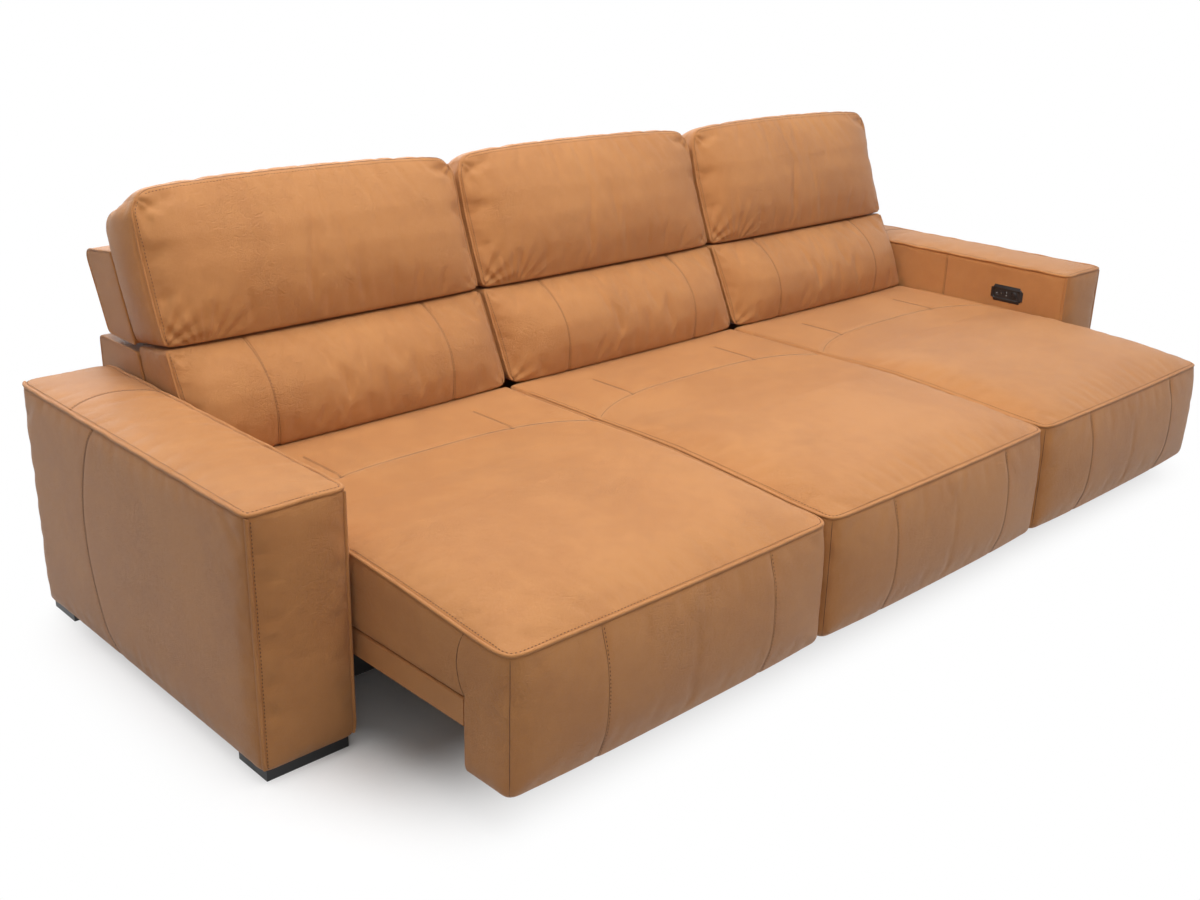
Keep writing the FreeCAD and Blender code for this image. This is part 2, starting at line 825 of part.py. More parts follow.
def lumbar_cushion(side, centre):
    """Cushion in front of the lower block; its top falls away to the fold under the head."""
    rest = value("lumbar_rest")
    gap = value("soft_gap")
    behind_low = value(lower_face("lumbar_rest")) - gap
    apex_y = value("hinge_y")
    apex_z = value("hinge_z - apex_gap / 2")
    behind_top = value("lower_front_top") - gap - 1
    low_y = value(lower_face("lumbar_rest") + " - lumbar_depth")
    seam_bow = value("seam_bow")
    lip_y = value("hinge_y - lumbar_lip")
    lip_z = value("hinge_z - lumbar_dip")

    def section(x, full, draw):
        face = arc_through(point(x, low_y + draw, rest + draw), point(x, lip_y + draw, lip_z - draw),
                           seam_bow + value("lumbar_crown") * full, point(0, -0.96, 0.29))
        rear = [(lip_y + draw, lip_z - draw), (apex_y, apex_z - draw),
                (behind_top - draw, value("lower_top") - draw), (behind_low - draw, rest + draw),
                (low_y + draw, rest + draw)]
        return [face] + lines(x, rear)
    cushion = pillow("lumbar_form_" + side, section, value("seat_width - 2 * side_ease"))
    tools = hinge_pocket("lumbar_pocket_" + side, "lower_top - foot_drop - foot_reach - pocket_ease",
                         "hinge_z + pocket_fold")
    return keep(cut("lumbar_cushion_" + side, cushion, tools), "lumbar_cushion_" + side, centre)


def head_cushion(side, centre):
    """Cushion on the upper block, leaning back, with a crowned face and a sloping top."""
    gap = value("soft_gap")
    hinge_y = value("hinge_y")
    hinge_z = value("hinge_z")
    lip = (hinge_y - value("head_lip"), hinge_z + value("head_rise"))
    top_front = (hinge_y + value("head_lean"), hinge_z + value("head_height"))
    top_rear = (top_front[0] + value("head_top_depth"), top_front[1] - value("head_top_drop"))
    block_top = (value("upper_front + upper_front_shift") - gap,
                 value("upper_bottom + upper_front_rise"))
    swell = (block_top[0] + value("head_swell"), (block_top[1] + top_rear[1]) / 2)
    block_low = (value("upper_front") - gap, value("upper_bottom"))
    apex = (hinge_y, hinge_z + value("apex_gap") / 2)
    seam_bow = value("seam_bow")

    def section(x, full, draw):
        low_front = point(x, lip[0] + draw, lip[1] + draw)
        high_front = point(x, top_front[0] + draw, top_front[1] - draw)
        high_rear = point(x, top_rear[0] - draw, top_rear[1] - draw)
        wing = point(x, block_top[0] - draw, block_top[1] + 1)
        face = arc_through(low_front, high_front, seam_bow + value("head_crown") * full,
                           point(0, -0.95, 0.31))
        top = arc_through(high_front, high_rear, seam_bow + value("top_bow") * full,
                          point(0, 0.43, 0.9))
        back = Part.Arc(high_rear, point(x, swell[0] - draw, swell[1]), wing).toShape()
        under = lines(x, [(wing.y, wing.z), (block_low[0] - draw, block_low[1] + 1.5),
                          (apex[0], apex[1] + draw), (low_front.y, low_front.z)])
        return [face, top, back] + under
    cushion = pillow("head_form_" + side, section, value("seat_width - 2 * side_ease"))
    tools = hinge_pocket("head_pocket_" + side, "hinge_z - pocket_fold",
                         "upper_bottom + split_gap + foot_reach + pocket_rise")
    return keep(cut("head_cushion_" + side, cushion, tools), "head_cushion_" + side, centre)


def toothed_disc(side):
    """The fixed disc, drawn about its own centre: one notch copied round the pivot."""
    body = new_body("hinge_disc_" + side)
    pad(body, ring(body, "YZ_Plane", "0", "0", "disc_radius", "plate_gap"), "plate_thickness")
    notch = rectangle("-tooth_width / 2", "disc_radius - tooth_depth",
                      "tooth_width / 2", "disc_radius + tooth_depth")
    first = pocket(body, outline(body, "YZ_Plane", notch, "plate_gap"), "plate_thickness",
                   forward=True)
    volume = body.Shape.Volume
    teeth = body.newObject("PartDesign::PolarPattern", body.Name + "_teeth")
    teeth.Originals = [first]
    pivot = [part for part in body.Origin.OriginFeatures if part.Role == "X_Axis"][0]
    teeth.Axis = (pivot, [""])
    bind(teeth, "Angle", "tooth_pitch * (tooth_count - 1)")
    bind(teeth, "Occurrences", "tooth_count")
    body.Tip = teeth
    doc.recompute()
    if body.Shape.Volume >= volume:
        raise RuntimeError("the teeth of %s weren't copied" % body.Name)
    place(body, y="hinge_y", z="hinge_z")
    return body


def hinge_foot(name, face, low, high):
    """Flange of a hinge half, flat on the leaning face of its block."""
    body = new_body(name)
    near_low = face(low) + " - soft_gap"
    near_high = face(high) + " - soft_gap"
    corners = [(near_low + " - flange_thickness", low), (near_low, low), (near_high, high),
               (near_high + " - flange_thickness", high)]
    pad(body, outline(body, "YZ_Plane", corners), "flange_width", both_ways=True)
    return body


def hinge_lower(side, centre):
    """Fixed half of the hinge: a toothed disc on a bent foot, with the pivot pin."""
    at = ("hinge_y", "hinge_z")
    low = "(lower_top - foot_drop - foot_reach)"
    high = "(lower_top - foot_drop)"
    arm = new_body("hinge_lower_arm_" + side)
    tail = [("hinge_y + disc_radius * 0.6", "hinge_z - disc_radius * 0.4"),
            ("hinge_y - disc_radius * 0.5", "hinge_z - disc_radius * 0.6"),
            (lower_face(low) + " - soft_gap - flange_thickness", low),
            (lower_face(high) + " - soft_gap - flange_thickness", high)]
    pad(arm, outline(arm, "YZ_Plane", tail, "plate_gap"), "plate_thickness")
    foot = hinge_foot("hinge_lower_foot_" + side, lower_face, low, high)
    pin = bar("hinge_pin_" + side, "pin_radius",
              "2 * plate_gap + 2 * plate_thickness + pin_head",
              "-plate_gap - plate_thickness - pin_head", *at, "x")
    head = doc.addObject("Part::Prism", "hinge_pin_head_" + side)
    head.Polygon = 6
    head.Placement.Rotation = FreeCAD.Rotation(FreeCAD.Vector(0, 1, 0), 90)
    bind(head, "Circumradius", "1.6 * pin_radius")
    bind(head, "Height", "pin_head - pin_clearance")
    place(head, "-plate_gap - plate_thickness - pin_head", *at)
    half = fuse("hinge_lower_half_" + side, [toothed_disc(side), arm, foot, pin, head])
    half.Refine = True
    return hinge_pair("hinge_lower", side, centre, half)


def hinge_pawl(side):
    """The pawl over the teeth, its nose towards the pivot."""
    body = new_body("hinge_pawl_" + side)
    tip = "disc_radius + 2 * plate_gap"
    nose = [("-tooth_width / 3", tip), ("tooth_width / 3", tip),
            ("2 * tooth_width", tip + " + tooth_depth"),
            ("2 * tooth_width", tip + " + 3 * tooth_depth"),
            ("-2 * tooth_width", tip + " + 3 * tooth_depth"),
            ("-2 * tooth_width", tip + " + tooth_depth")]
    pad(body, outline(body, "YZ_Plane", nose), "2 * plate_gap + 2 * plate_thickness", True)
    place(body, y="hinge_y", z="hinge_z")
    return body


def hinge_upper(side, centre):
    """Moving half of the hinge: a plate on the pin, a bent foot and the pawl."""
    at = ("hinge_y", "hinge_z")
    low = "(upper_bottom + split_gap)"
    high = "(upper_bottom + split_gap + foot_reach)"
    plate = bar("hinge_plate_" + side, "disc_radius", "plate_thickness",
                "-plate_gap - plate_thickness", *at, "x")
    tail = [("hinge_y + disc_radius * 0.1", "hinge_z - disc_radius * 0.9"),
            (upper_face(low) + " - soft_gap - flange_thickness", low),
            (upper_face(high) + " - soft_gap - flange_thickness", high),
            ("hinge_y - 2 * tooth_width", "hinge_z + disc_radius + 3 * tooth_depth")]
    arm = new_body("hinge_upper_arm_" + side)
    sketch = outline(arm, "YZ_Plane", tail, "-plate_gap - plate_thickness")
    pad(arm, sketch, "plate_thickness")
    foot = hinge_foot("hinge_upper_foot_" + side, upper_face, low, high)
    solid = fuse("hinge_upper_solid_" + side, [plate, arm, foot, hinge_pawl(side)])
    solid.Refine = True
    bore = bar("hinge_bore_" + side, "pin_radius + pin_clearance", "3 * plate_thickness",
               "-plate_gap - 2 * plate_thickness", *at, "x")
    half = cut("hinge_upper_half_" + side, solid, [bore])
    return hinge_pair("hinge_upper", side, centre, half)


def hinge_pair(kind, side, centre, half):
    """Two like hinges, one near each side of the back."""
    right = doc.addObject("Part::Compound", "%s_right_%s" % (kind, side))
    right.Links = [half]
    place(right, x="seat_width / 2 - hinge_inset")
    left = doc.addObject("Part::Compound", "%s_left_%s" % (kind, side))
    left.Links = [half]
    place(left, x="-(seat_width / 2 - hinge_inset)")
    pair = group("%s_%s" % (kind, side), [right, left])
    return keep(pair, "%s_%s" % (kind, side), centre)


def slot_outline(body, offset, extra):
    """The rounded slot of the rocker button, on the arm's inner face."""
    sketch = body.newObject("Sketcher::SketchObject", body.Name + "_slot")
    origin_plane = [part for part in body.Origin.OriginFeatures if part.Role == "YZ_Plane"][0]
    sketch.AttachmentSupport = [(origin_plane, "")]
    sketch.MapMode = "FlatFace"
    bind(sketch, "AttachmentOffset.Base.z", offset)
    radius = value("rocker_width / 2 + " + extra)
    half = value("rocker_length / 2 - rocker_width / 2")
    y = value("switch_y + button_offset")
    z = value("switch_height")
    up = FreeCAD.Vector(0, 0, 1)
    right = Part.Circle(FreeCAD.Vector(y + half, z, 0), up, radius)
    left = Part.Circle(FreeCAD.Vector(y - half, z, 0), up, radius)
    quarter = math.pi / 2
    sketch.addGeometry(Part.ArcOfCircle(right, -quarter, quarter))
    sketch.addGeometry(Part.LineSegment(FreeCAD.Vector(y + half, z + radius, 0),
                                        FreeCAD.Vector(y - half, z + radius, 0)))
    sketch.addGeometry(Part.ArcOfCircle(left, quarter, 3 * quarter))
    sketch.addGeometry(Part.LineSegment(FreeCAD.Vector(y - half, z - radius, 0),
                                        FreeCAD.Vector(y + half, z - radius, 0)))
    for first, last in ((0, 1), (1, 2), (2, 3), (3, 0)):
        sketch.addConstraint(Sketcher.Constraint("Tangent", first, 2, last, 1))
    places = (("DistanceX", 0, "switch_y + button_offset + rocker_length / 2 - rocker_width / 2"),
              ("DistanceX", 2, "switch_y + button_offset - rocker_length / 2 + rocker_width / 2"),
              ("DistanceY", 0, "switch_height"), ("DistanceY", 2, "switch_height"))
    for kind, arc, text in places:
        number = sketch.addConstraint(Sketcher.Constraint(kind, -1, 1, arc, 3, value(text)))
        bind(sketch, "Constraints[%d]" % number, text)
    number = sketch.addConstraint(Sketcher.Constraint("Radius", 0, radius))
    bind(sketch, "Constraints[%d]" % number, "rocker_width / 2 + " + extra)
    return sketch


def switch_plate():
    """Black plate let into the right arm, with a box behind it and two wells."""
    body = new_body("switch_plate")
    face = "-switch_thickness"
    pad(body, outline(body, "YZ_Plane", switch_window("0"), face), "switch_thickness")

    def corner(edge):
        return span(edge, "Y") < 0.1 and span(edge, "Z") < 0.1
    round_edges(body, "switch_corner", corner)
    proud = -value("switch_thickness")

    def front_edge(edge):
        return edge.BoundBox.XMax < proud + 0.1
    bevel_edges(body, "switch_bevel", front_edge)
    pad(body, outline(body, "YZ_Plane", switch_window("box_inset + box_fit")), "switch_box")
    pocket(body, ring(body, "YZ_Plane", "switch_y - button_offset", "switch_height",
                      "button_radius + button_gap", face), "well_depth", forward=True)
    pocket(body, slot_outline(body, face, "button_gap"), "well_depth", forward=True)
    return keep(body, "switch_plate", "half_inner")


def button(label, sketch_of):
    """A button that stands a little proud of the plate and can be pressed into its well."""
    body = new_body(label)
    start = "-switch_thickness - button_proud"
    pad(body, sketch_of(body, start), "button_proud + button_depth")
    return keep(body, label, "half_inner")


def round_sketch(body, start):
    return ring(body, "YZ_Plane", "switch_y - button_offset", "switch_height",
                "button_radius", start)


def rocker_sketch(body, start):
    return slot_outline(body, start, "0")


def power_supply():
    """Closed box on its tray, with an inlet in front."""
    low_y = "base_rear - beam_thickness - supply_length - tray_margin"
    low_z = "base_top - bearer_height + tray_thickness"
    case = block("supply_case", ("-seat_pitch / 2 - supply_width / 2", "supply_width"),
                 (low_y, "supply_length"), (low_z, "supply_height"))
    inlet = block("supply_inlet", ("-seat_pitch / 2 - inlet_width / 2", "inlet_width"),
                  (low_y + " - overcut", "inlet_depth + overcut"),
                  (low_z + " + (supply_height - inlet_height) / 2", "inlet_height"))
    return keep(cut("power_supply", case, [inlet]), "power_supply")


doc.recompute()
for arm, arm_x in ARMS:
    arm_cover(arm, arm_x)
    arm_frame(arm, arm_x)
arm_feet()
base_frame()
base_legs()
for seat, middle in SEATS:
    seat_slides(seat, middle)
    seat_frame(seat, middle)
    seat_rails(seat, middle)
    seat_webbing(seat, middle)
    seat_cushion(seat, middle)
    seat_front(seat, middle)
    seat_drive(seat, middle)
    lower_back(seat, middle)
    lumbar_cushion(seat, middle)
    upper_back(seat, middle)
    head_cushion(seat, middle)
    hinge_lower(seat, middle)
    hinge_upper(seat, middle)
switch_plate()
button("rocker_button", rocker_sketch)
button("round_button", round_sketch)
power_supply()
doc.recompute()

for item in doc.Objects:
    if "Invalid" in item.State or "Error" in item.State:
        raise RuntimeError("%s failed: %s" % (item.Name, item.State))
os.makedirs("parts", exist_ok=True)
for node in nodes:
    if node.Shape.isNull() or not node.Shape.isValid():
        raise RuntimeError("%s has no valid shape" % node.Label)
    node.Shape.exportStep("parts/%s.step" % node.Label)
print("%d sub-parts written" % len(nodes))
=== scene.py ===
"""Dresses the frame of the reclining sofa in stitched leather, with its switch, inner parts and stage."""

import math

import bpy
import numpy as np
from mathutils import Matrix, Vector
from mathutils.bvhtree import BVHTree
from mathutils.kdtree import KDTree


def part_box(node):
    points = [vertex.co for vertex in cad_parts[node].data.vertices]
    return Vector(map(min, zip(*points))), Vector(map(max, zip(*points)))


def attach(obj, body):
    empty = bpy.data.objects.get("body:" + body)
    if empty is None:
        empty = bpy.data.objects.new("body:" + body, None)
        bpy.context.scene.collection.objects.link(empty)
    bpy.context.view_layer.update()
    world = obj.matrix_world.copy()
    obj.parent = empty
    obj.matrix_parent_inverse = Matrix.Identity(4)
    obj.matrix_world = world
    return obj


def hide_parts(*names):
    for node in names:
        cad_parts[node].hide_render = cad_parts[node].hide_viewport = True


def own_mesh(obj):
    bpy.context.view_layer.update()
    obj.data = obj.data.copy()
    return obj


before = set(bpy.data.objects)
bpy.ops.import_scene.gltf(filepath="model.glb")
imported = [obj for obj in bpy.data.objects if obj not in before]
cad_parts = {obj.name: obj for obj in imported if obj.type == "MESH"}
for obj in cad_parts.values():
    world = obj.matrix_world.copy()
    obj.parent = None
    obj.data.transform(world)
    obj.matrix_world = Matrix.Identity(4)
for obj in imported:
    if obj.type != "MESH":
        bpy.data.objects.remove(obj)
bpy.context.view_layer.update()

bl_info = {
    "name": "Reclining sofa",
    "version": (1, 0, 0),
    "blender": (4, 5, 0),
    "location": "3D View > Sidebar > Sofa",
    "description": "Makes the cushions, arms, stitching, switch and stage of a three-seat reclining sofa",
    "category": "Add Mesh",
}

SEATS = ("left", "middle", "right")
SEAT_CENTRE = {}
for seat in SEATS:
    low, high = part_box("seat_cushion_" + seat)
    SEAT_CENTRE[seat] = (low.x + high.x) / 2


def length_setting(name, description, default):
    """A length for the panel."""
    return bpy.props.FloatProperty(name=name, description=description, default=default, unit="LENGTH")


def colour_setting(name, description, red, green, blue):
    """A colour for the panel."""
    return bpy.props.FloatVectorProperty(
        name=name, description=description, subtype="COLOR", size=4, default=(red, green, blue, 1.0))


class SofaSizes(bpy.types.PropertyGroup):
    """The sizes of the upholstery."""

    cushion_width: length_setting("Cushion width", "Width of a seat or back cushion", 0.929)
    seat_crown: length_setting("Seat crown", "How far the middle of a seat stands above its piping", 0.041)
    front_bulge: length_setting("Front bulge", "How far a seat's drop front swells forward", 0.022)
    seat_corner: length_setting("Seat corner", "Radius of a seat's front corners seen from above", 0.038)
    head_swell: length_setting("Head swell", "How far a head cushion swells forward", 0.058)
    lumbar_swell: length_setting("Lumbar swell", "How far a lumbar cushion swells forward", 0.064)
    piping: length_setting("Piping radius", "Radius of the round piping on seats and arms", 0.0042)
    stitch_pitch: length_setting("Stitch pitch", "Distance from one stitch to the next", 0.0085)
    panel_seam: length_setting("Panel seam", "Distance of the panel seams from a seat's middle", 0.255)


class SofaColours(bpy.types.PropertyGroup):
    """The colours of the sofa and its stage."""

    hide: colour_setting("Hide", "Main colour of the leather", 0.52, 0.216, 0.066)
    hide_light: colour_setting("Rubbed hide", "Leather where it is stretched or rubbed", 0.58, 0.252, 0.080)
    # The leather in seams and folds is darkened towards this colour as painted shade.
    hide_painted_shade: colour_setting("Painted shade in folds", "Leather in seams and folds", 0.27, 0.095, 0.028)
    thread: colour_setting("Thread", "Sewing thread", 0.15, 0.052, 0.018)
    black: colour_setting("Black plastic", "Feet, switch and drive housings", 0.012, 0.012, 0.013)
    floor: colour_setting("Floor", "Studio floor", 0.93, 0.93, 0.93)


# Small tools for meshes

def start_fresh():
    """Leaves edit mode and selects nothing."""
    if bpy.context.object and bpy.context.object.mode != "OBJECT":
        bpy.ops.object.mode_set(mode="OBJECT")
    bpy.ops.object.select_all(action="DESELECT")


def take(piece):
    """Makes a piece the only selected and active one."""
    start_fresh()
    piece.select_set(True)
    bpy.context.view_layer.objects.active = piece


def read_points(piece, what="co"):
    """The places or normals of a mesh's points, as rows."""
    flat = np.empty(len(piece.data.vertices) * 3, np.float32)
    piece.data.vertices.foreach_get(what, flat)
    return flat.reshape(-1, 3).astype(np.float64)


def write_points(piece, rows):
    """Moves a mesh's points."""
    piece.data.vertices.foreach_set("co", rows.astype(np.float32).ravel())
    piece.data.update()


def write_value(piece, name, values):
    """Keeps one number for each point."""
    if name in piece.data.attributes:
        kept = piece.data.attributes[name]
    else:
        kept = piece.data.attributes.new(name, "FLOAT", "POINT")
    kept.data.foreach_set("value", values.astype(np.float32))


def read_value(piece, name):
    """Reads one number for each point."""
    values = np.empty(len(piece.data.vertices), np.float32)
    piece.data.attributes[name].data.foreach_get("value", values)
    return values.astype(np.float64)


def block_place(piece):
    """Each point's place on the even block that a cover was laid out from."""
    return [read_value(piece, name) for name in ("across", "along", "through")]


def apply_all(piece):
    """Applies a piece's modifiers in order."""
    take(piece)
    for modifier in list(piece.modifiers):
        bpy.ops.object.modifier_apply(modifier=modifier.name)


def smooth(piece, angle=None):
    """Shades a piece smoothly, or smoothly up to an angle."""
    take(piece)
    if angle is None:
        bpy.ops.object.shade_smooth()
    else:
        bpy.ops.object.shade_smooth_by_angle(angle=math.radians(angle))


def settle(piece):
    """Puts a piece's place into its mesh."""
    take(piece)
    bpy.ops.object.transform_apply(location=True, rotation=True, scale=True)


def copy_of(piece, name):
    """A copy of a piece with its own mesh."""
    made = piece.copy()
    made.data = piece.data.copy()
    made.name = name
    made.data.name = name
    bpy.context.scene.collection.objects.link(made)
    return made


def face_outward(piece):
    """Turns every face of a closed piece outward."""
    take(piece)
    bpy.ops.object.mode_set(mode="EDIT")
    bpy.ops.mesh.select_all(action="SELECT")
    bpy.ops.mesh.normals_make_consistent(inside=False)
    bpy.ops.object.mode_set(mode="OBJECT")


def join_up(pieces, name):
    """Joins pieces into one."""
    start_fresh()
    for piece in pieces:
        piece.select_set(True)
    bpy.context.view_layer.objects.active = pieces[0]
    bpy.ops.object.join()
    pieces[0].name = name
    return pieces[0]


def move_sideways(piece, distance):
    """Moves a piece's mesh along the sofa."""
    rows = read_points(piece)
    rows[:, 0] += distance
    write_points(piece, rows)


SAME = 0.001


def even_block(name, across, along, through):
    """A closed block of even cells from 0 to 1 on each axis, to be laid out as a cover."""
    start_fresh()
    bpy.ops.mesh.primitive_grid_add(
        x_subdivisions=across, y_subdivisions=along, size=1, location=(0.5, 0.5, 0))
    block = bpy.context.object
    block.name = name
    block.data.name = name
    bpy.ops.object.mode_set(mode="EDIT")
    bpy.ops.mesh.select_all(action="SELECT")
    for level in range(through):
        bpy.ops.mesh.extrude_region_move(TRANSFORM_OT_translate={"value": (0, 0, 1 / through)})
    face_outward(block)
    settle(block)
    return block


def lay_out(block, place):
    """Lays an even block out as a cover and keeps each point's place on the block."""
    across, along, through = read_points(block).T
    write_value(block, "across", across)
    write_value(block, "along", along)
    write_value(block, "through", through)
    write_points(block, place(across, along, through))
    face_outward(block)


SWELL_FRAMES = 20


def swell(piece, held, reach, pressure, slack):
    """Blows a cover up over its filling by cloth simulation, then keeps each point within its reach."""
    before = read_points(piece)
    group = piece.vertex_groups.new(name="held")
    group.add(np.nonzero(held)[0].tolist(), 1.0, "REPLACE")
    cloth = piece.modifiers.new("Cloth", "CLOTH")
    cloth.settings.vertex_group_mass = "held"
    cloth.settings.effector_weights.gravity = 0
    cloth.settings.use_pressure = True
    cloth.settings.uniform_pressure_force = pressure
    cloth.settings.quality = 5
    cloth.settings.mass = 0.4
    cloth.settings.tension_stiffness = 20
    cloth.settings.compression_stiffness = 20
    cloth.settings.shear_stiffness = 8
    cloth.settings.bending_stiffness = 1.2
    cloth.settings.air_damping = 3
    cloth.settings.shrink_min = -slack
    cloth.point_cache.frame_start = 1
    cloth.point_cache.frame_end = SWELL_FRAMES
    for number in range(1, SWELL_FRAMES + 1):
        bpy.context.scene.frame_set(number)
    apply_all(piece)
    bpy.context.scene.frame_set(1)
    piece.vertex_groups.clear()
    move = read_points(piece) - before
    length = np.linalg.norm(move, axis=1) + 1e-9
    kept = reach * np.tanh(length / np.maximum(reach, 1e-6)) / length
    write_points(piece, before + move * kept[:, None])


def divide(piece):
    """Rounds a cover with a subdivision surface."""
    rounder = piece.modifiers.new("Rounding", "SUBSURF")
    rounder.levels = 1
    apply_all(piece)


def surface_of(piece):
    """A search tree of a piece's surface."""
    points = [Vector(row) for row in read_points(piece)]
    faces = [tuple(face.vertices) for face in piece.data.polygons]
    return BVHTree.FromPolygons(points, faces)


def on_surface(tree, rows, proud=0.0):
    """Lays a line of points onto a surface, and gives the surface's normals there."""
    places = []
    normals = []
    for row in rows:
        place, normal, face, distance = tree.find_nearest(Vector(row))
        places.append(place + normal * proud)
        normals.append(normal)
    return np.array(places), np.array(normals)


def even_steps(rows, step, extra=None):
    """Points at even steps along a line."""
    lengths = np.linalg.norm(np.diff(rows, axis=0), axis=1)
    walked = np.concatenate([[0], np.cumsum(lengths)])
    count = max(2, int(round(walked[-1] / step)) + 1)
    wanted = np.linspace(0, walked[-1], count)
    placed = np.stack([np.interp(wanted, walked, rows[:, axis]) for axis in range(3)], axis=1)
    if extra is None:
        return placed
    return placed, np.stack([np.interp(wanted, walked, extra[:, axis]) for axis in range(3)], axis=1)


def calm(rows, rounds):
    """Evens a line out, with its ends kept."""
    rows = rows.copy()
    for number in range(rounds):
        rows[1:-1] = rows[:-2] * 0.25 + rows[1:-1] * 0.5 + rows[2:] * 0.25
    return rows


def crease(piece, lines, width, depth, mark=1.0):
    """Draws the cover in along sewn lines and marks them with painted shade for the leather's colour."""
    points = read_points(piece)
    normals = read_points(piece, "normal")
    samples = np.concatenate([even_steps(line, 0.003) for line in lines])
    tree = KDTree(len(samples))
    for number, sample in enumerate(samples):
        tree.insert(sample, number)
    tree.balance()
    lowest = samples.min(axis=0) - width * 3
    highest = samples.max(axis=0) + width * 3
    near = np.nonzero(np.all((points > lowest) & (points < highest), axis=1))[0]
    distance = np.full(len(points), 1.0)
    for number in near:
        distance[number] = tree.find(points[number])[2]
    pull = np.exp(-((distance / width) ** 2))
    write_points(piece, points - normals * (pull * depth)[:, None])
    # The pull, scaled by mark, is kept in the seam attribute as painted shade.
    painted_shade = pull * mark
    if "seam" in piece.data.attributes:
        painted_shade = np.maximum(painted_shade, read_value(piece, "seam"))
    write_value(piece, "seam", painted_shade)


def tube(name, lines, radius, body, finish="piping", sides=3):
    """Round piping along lines of points."""
    curve = bpy.data.curves.new(name, "CURVE")
    curve.dimensions = "3D"
    curve.bevel_depth = radius
    curve.bevel_resolution = sides
    curve.use_fill_caps = True
    for line in lines:
        spline = curve.splines.new("POLY")
        spline.points.add(len(line) - 1)
        for point, row in zip(spline.points, line):
            point.co = (row[0], row[1], row[2], 1)
    made = bpy.data.objects.new(name, curve)
    bpy.context.scene.collection.objects.link(made)
    take(made)
    bpy.ops.object.convert(target="MESH")
    made = bpy.context.object
    bpy.ops.object.mode_set(mode="EDIT")
    bpy.ops.mesh.select_all(action="SELECT")
    bpy.ops.mesh.remove_doubles(threshold=0.00001)
    face_outward(made)
    smooth(made, 60)
    finish_piece(made, body, MATERIALS[finish])
    return made


def seam_shade_lines(name, tree, lines, body):
    """Thin dark tubes of painted shade where two pieces of leather meet, laid in their creases."""
    laid = []
    for line in lines:
        placed = on_surface(tree, even_steps(line, 0.006), -0.0002)[0]
        laid.append(calm(placed, 2))
    return tube(name, laid, 0.0008, body, "gap", 0)


def stitch_shape():
    """One stitch: a short pull of thread whose ends dive into the leather."""
    start_fresh()
    bpy.ops.mesh.primitive_cylinder_add(vertices=6, radius=0.5, depth=1, rotation=(0, math.radians(90), 0))
    one = bpy.context.object
    settle(one)
    bpy.ops.object.mode_set(mode="EDIT")
    for cut in (-0.25, 0.25):
        bpy.ops.mesh.select_all(action="SELECT")
        bpy.ops.mesh.bisect(plane_co=(cut, 0, 0), plane_no=(1, 0, 0))
    bpy.ops.object.mode_set(mode="OBJECT")
    rows = read_points(one)
    ends = np.abs(rows[:, 0]) > 0.4
    rows[ends, 1] *= 0.45
    rows[ends, 2] = rows[ends, 2] * 0.45 - 0.45
    shape = rows, [tuple(face.vertices) for face in one.data.polygons]
    bpy.data.objects.remove(one)
    return shape


STITCH = stitch_shape()
STITCH_LENGTH, STITCH_THICK = 0.0052, 0.0019


def stitching(name, tree, lines, body, thread="thread"):
    """Rows of stitches along lines on a surface, all in one mesh."""
    shape, faces = STITCH
    pitch = bpy.context.scene.sofa_sizes.stitch_pitch
    places = []
    corners = []
    for line in lines:
        placed, normals = on_surface(tree, even_steps(line, 0.004))
        placed, normals = even_steps(placed, pitch, normals)
        ahead = np.gradient(placed, axis=0)
        ahead /= np.linalg.norm(ahead, axis=1)[:, None]
        normals -= ahead * np.sum(normals * ahead, axis=1)[:, None]
        normals /= np.linalg.norm(normals, axis=1)[:, None]
        beside = np.cross(normals, ahead)
        for number in range(len(placed)):
            first = len(places) * len(shape)
            places.append(
                placed[number]
                + shape[:, :1] * STITCH_LENGTH * ahead[number]
                + shape[:, 1:2] * STITCH_THICK * beside[number]
                + shape[:, 2:3] * STITCH_THICK * 0.9 * normals[number])
            corners.extend(tuple(first + corner for corner in face) for face in faces)
    mesh = bpy.data.meshes.new(name)
    mesh.from_pydata(np.concatenate(places).tolist(), [], corners)
    made = bpy.data.objects.new(name, mesh)
    bpy.context.scene.collection.objects.link(made)
    smooth(made)
    finish_piece(made, body, MATERIALS[thread])
    return made


def finish_piece(piece, body, material=None):
    """Gives a piece its body and its material."""
    if material is not None:
        piece.data.materials.clear()
        piece.data.materials.append(material)
    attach(piece, body)


# Materials

def put(tree, kind, options=None, **feeds):
    """Adds a node, sets its options, and feeds its inputs with values or with other nodes' sockets."""
    made = tree.nodes.new(kind)
    for name, value in (options or {}).items():
        setattr(made, name, value)
    for name, value in feeds.items():
        if name.startswith("in_"):
            socket = made.inputs[int(name[3:])]
        else:
            socket = made.inputs[name.replace("_", " ")]
        if isinstance(value, bpy.types.NodeSocket):
            tree.links.new(value, socket)
        else:
            socket.default_value = value
    return made


def new_group(name, inputs, outputs):
    """An empty group of nodes that takes a place and named numbers, and gives named numbers."""
    group = bpy.data.node_groups.new(name, "ShaderNodeTree")
    group.interface.new_socket("Place", in_out="INPUT", socket_type="NodeSocketVector")
    for label, value in inputs:
        socket = group.interface.new_socket(label, in_out="INPUT", socket_type="NodeSocketFloat")
        socket.default_value = value
    for label in outputs:
        group.interface.new_socket(label, in_out="OUTPUT", socket_type="NodeSocketFloat")
    return group, group.nodes.new("NodeGroupInput"), group.nodes.new("NodeGroupOutput")


def math_node(tree, operation, first, second=0.0, clamp=False):
    """One sum."""
    made = put(tree, "ShaderNodeMath", {"operation": operation, "use_clamp": clamp}, in_0=first, in_1=second)
    return made.outputs[0]


def product(tree, first, second):
    """Two values multiplied."""
    return math_node(tree, "MULTIPLY", first, second)


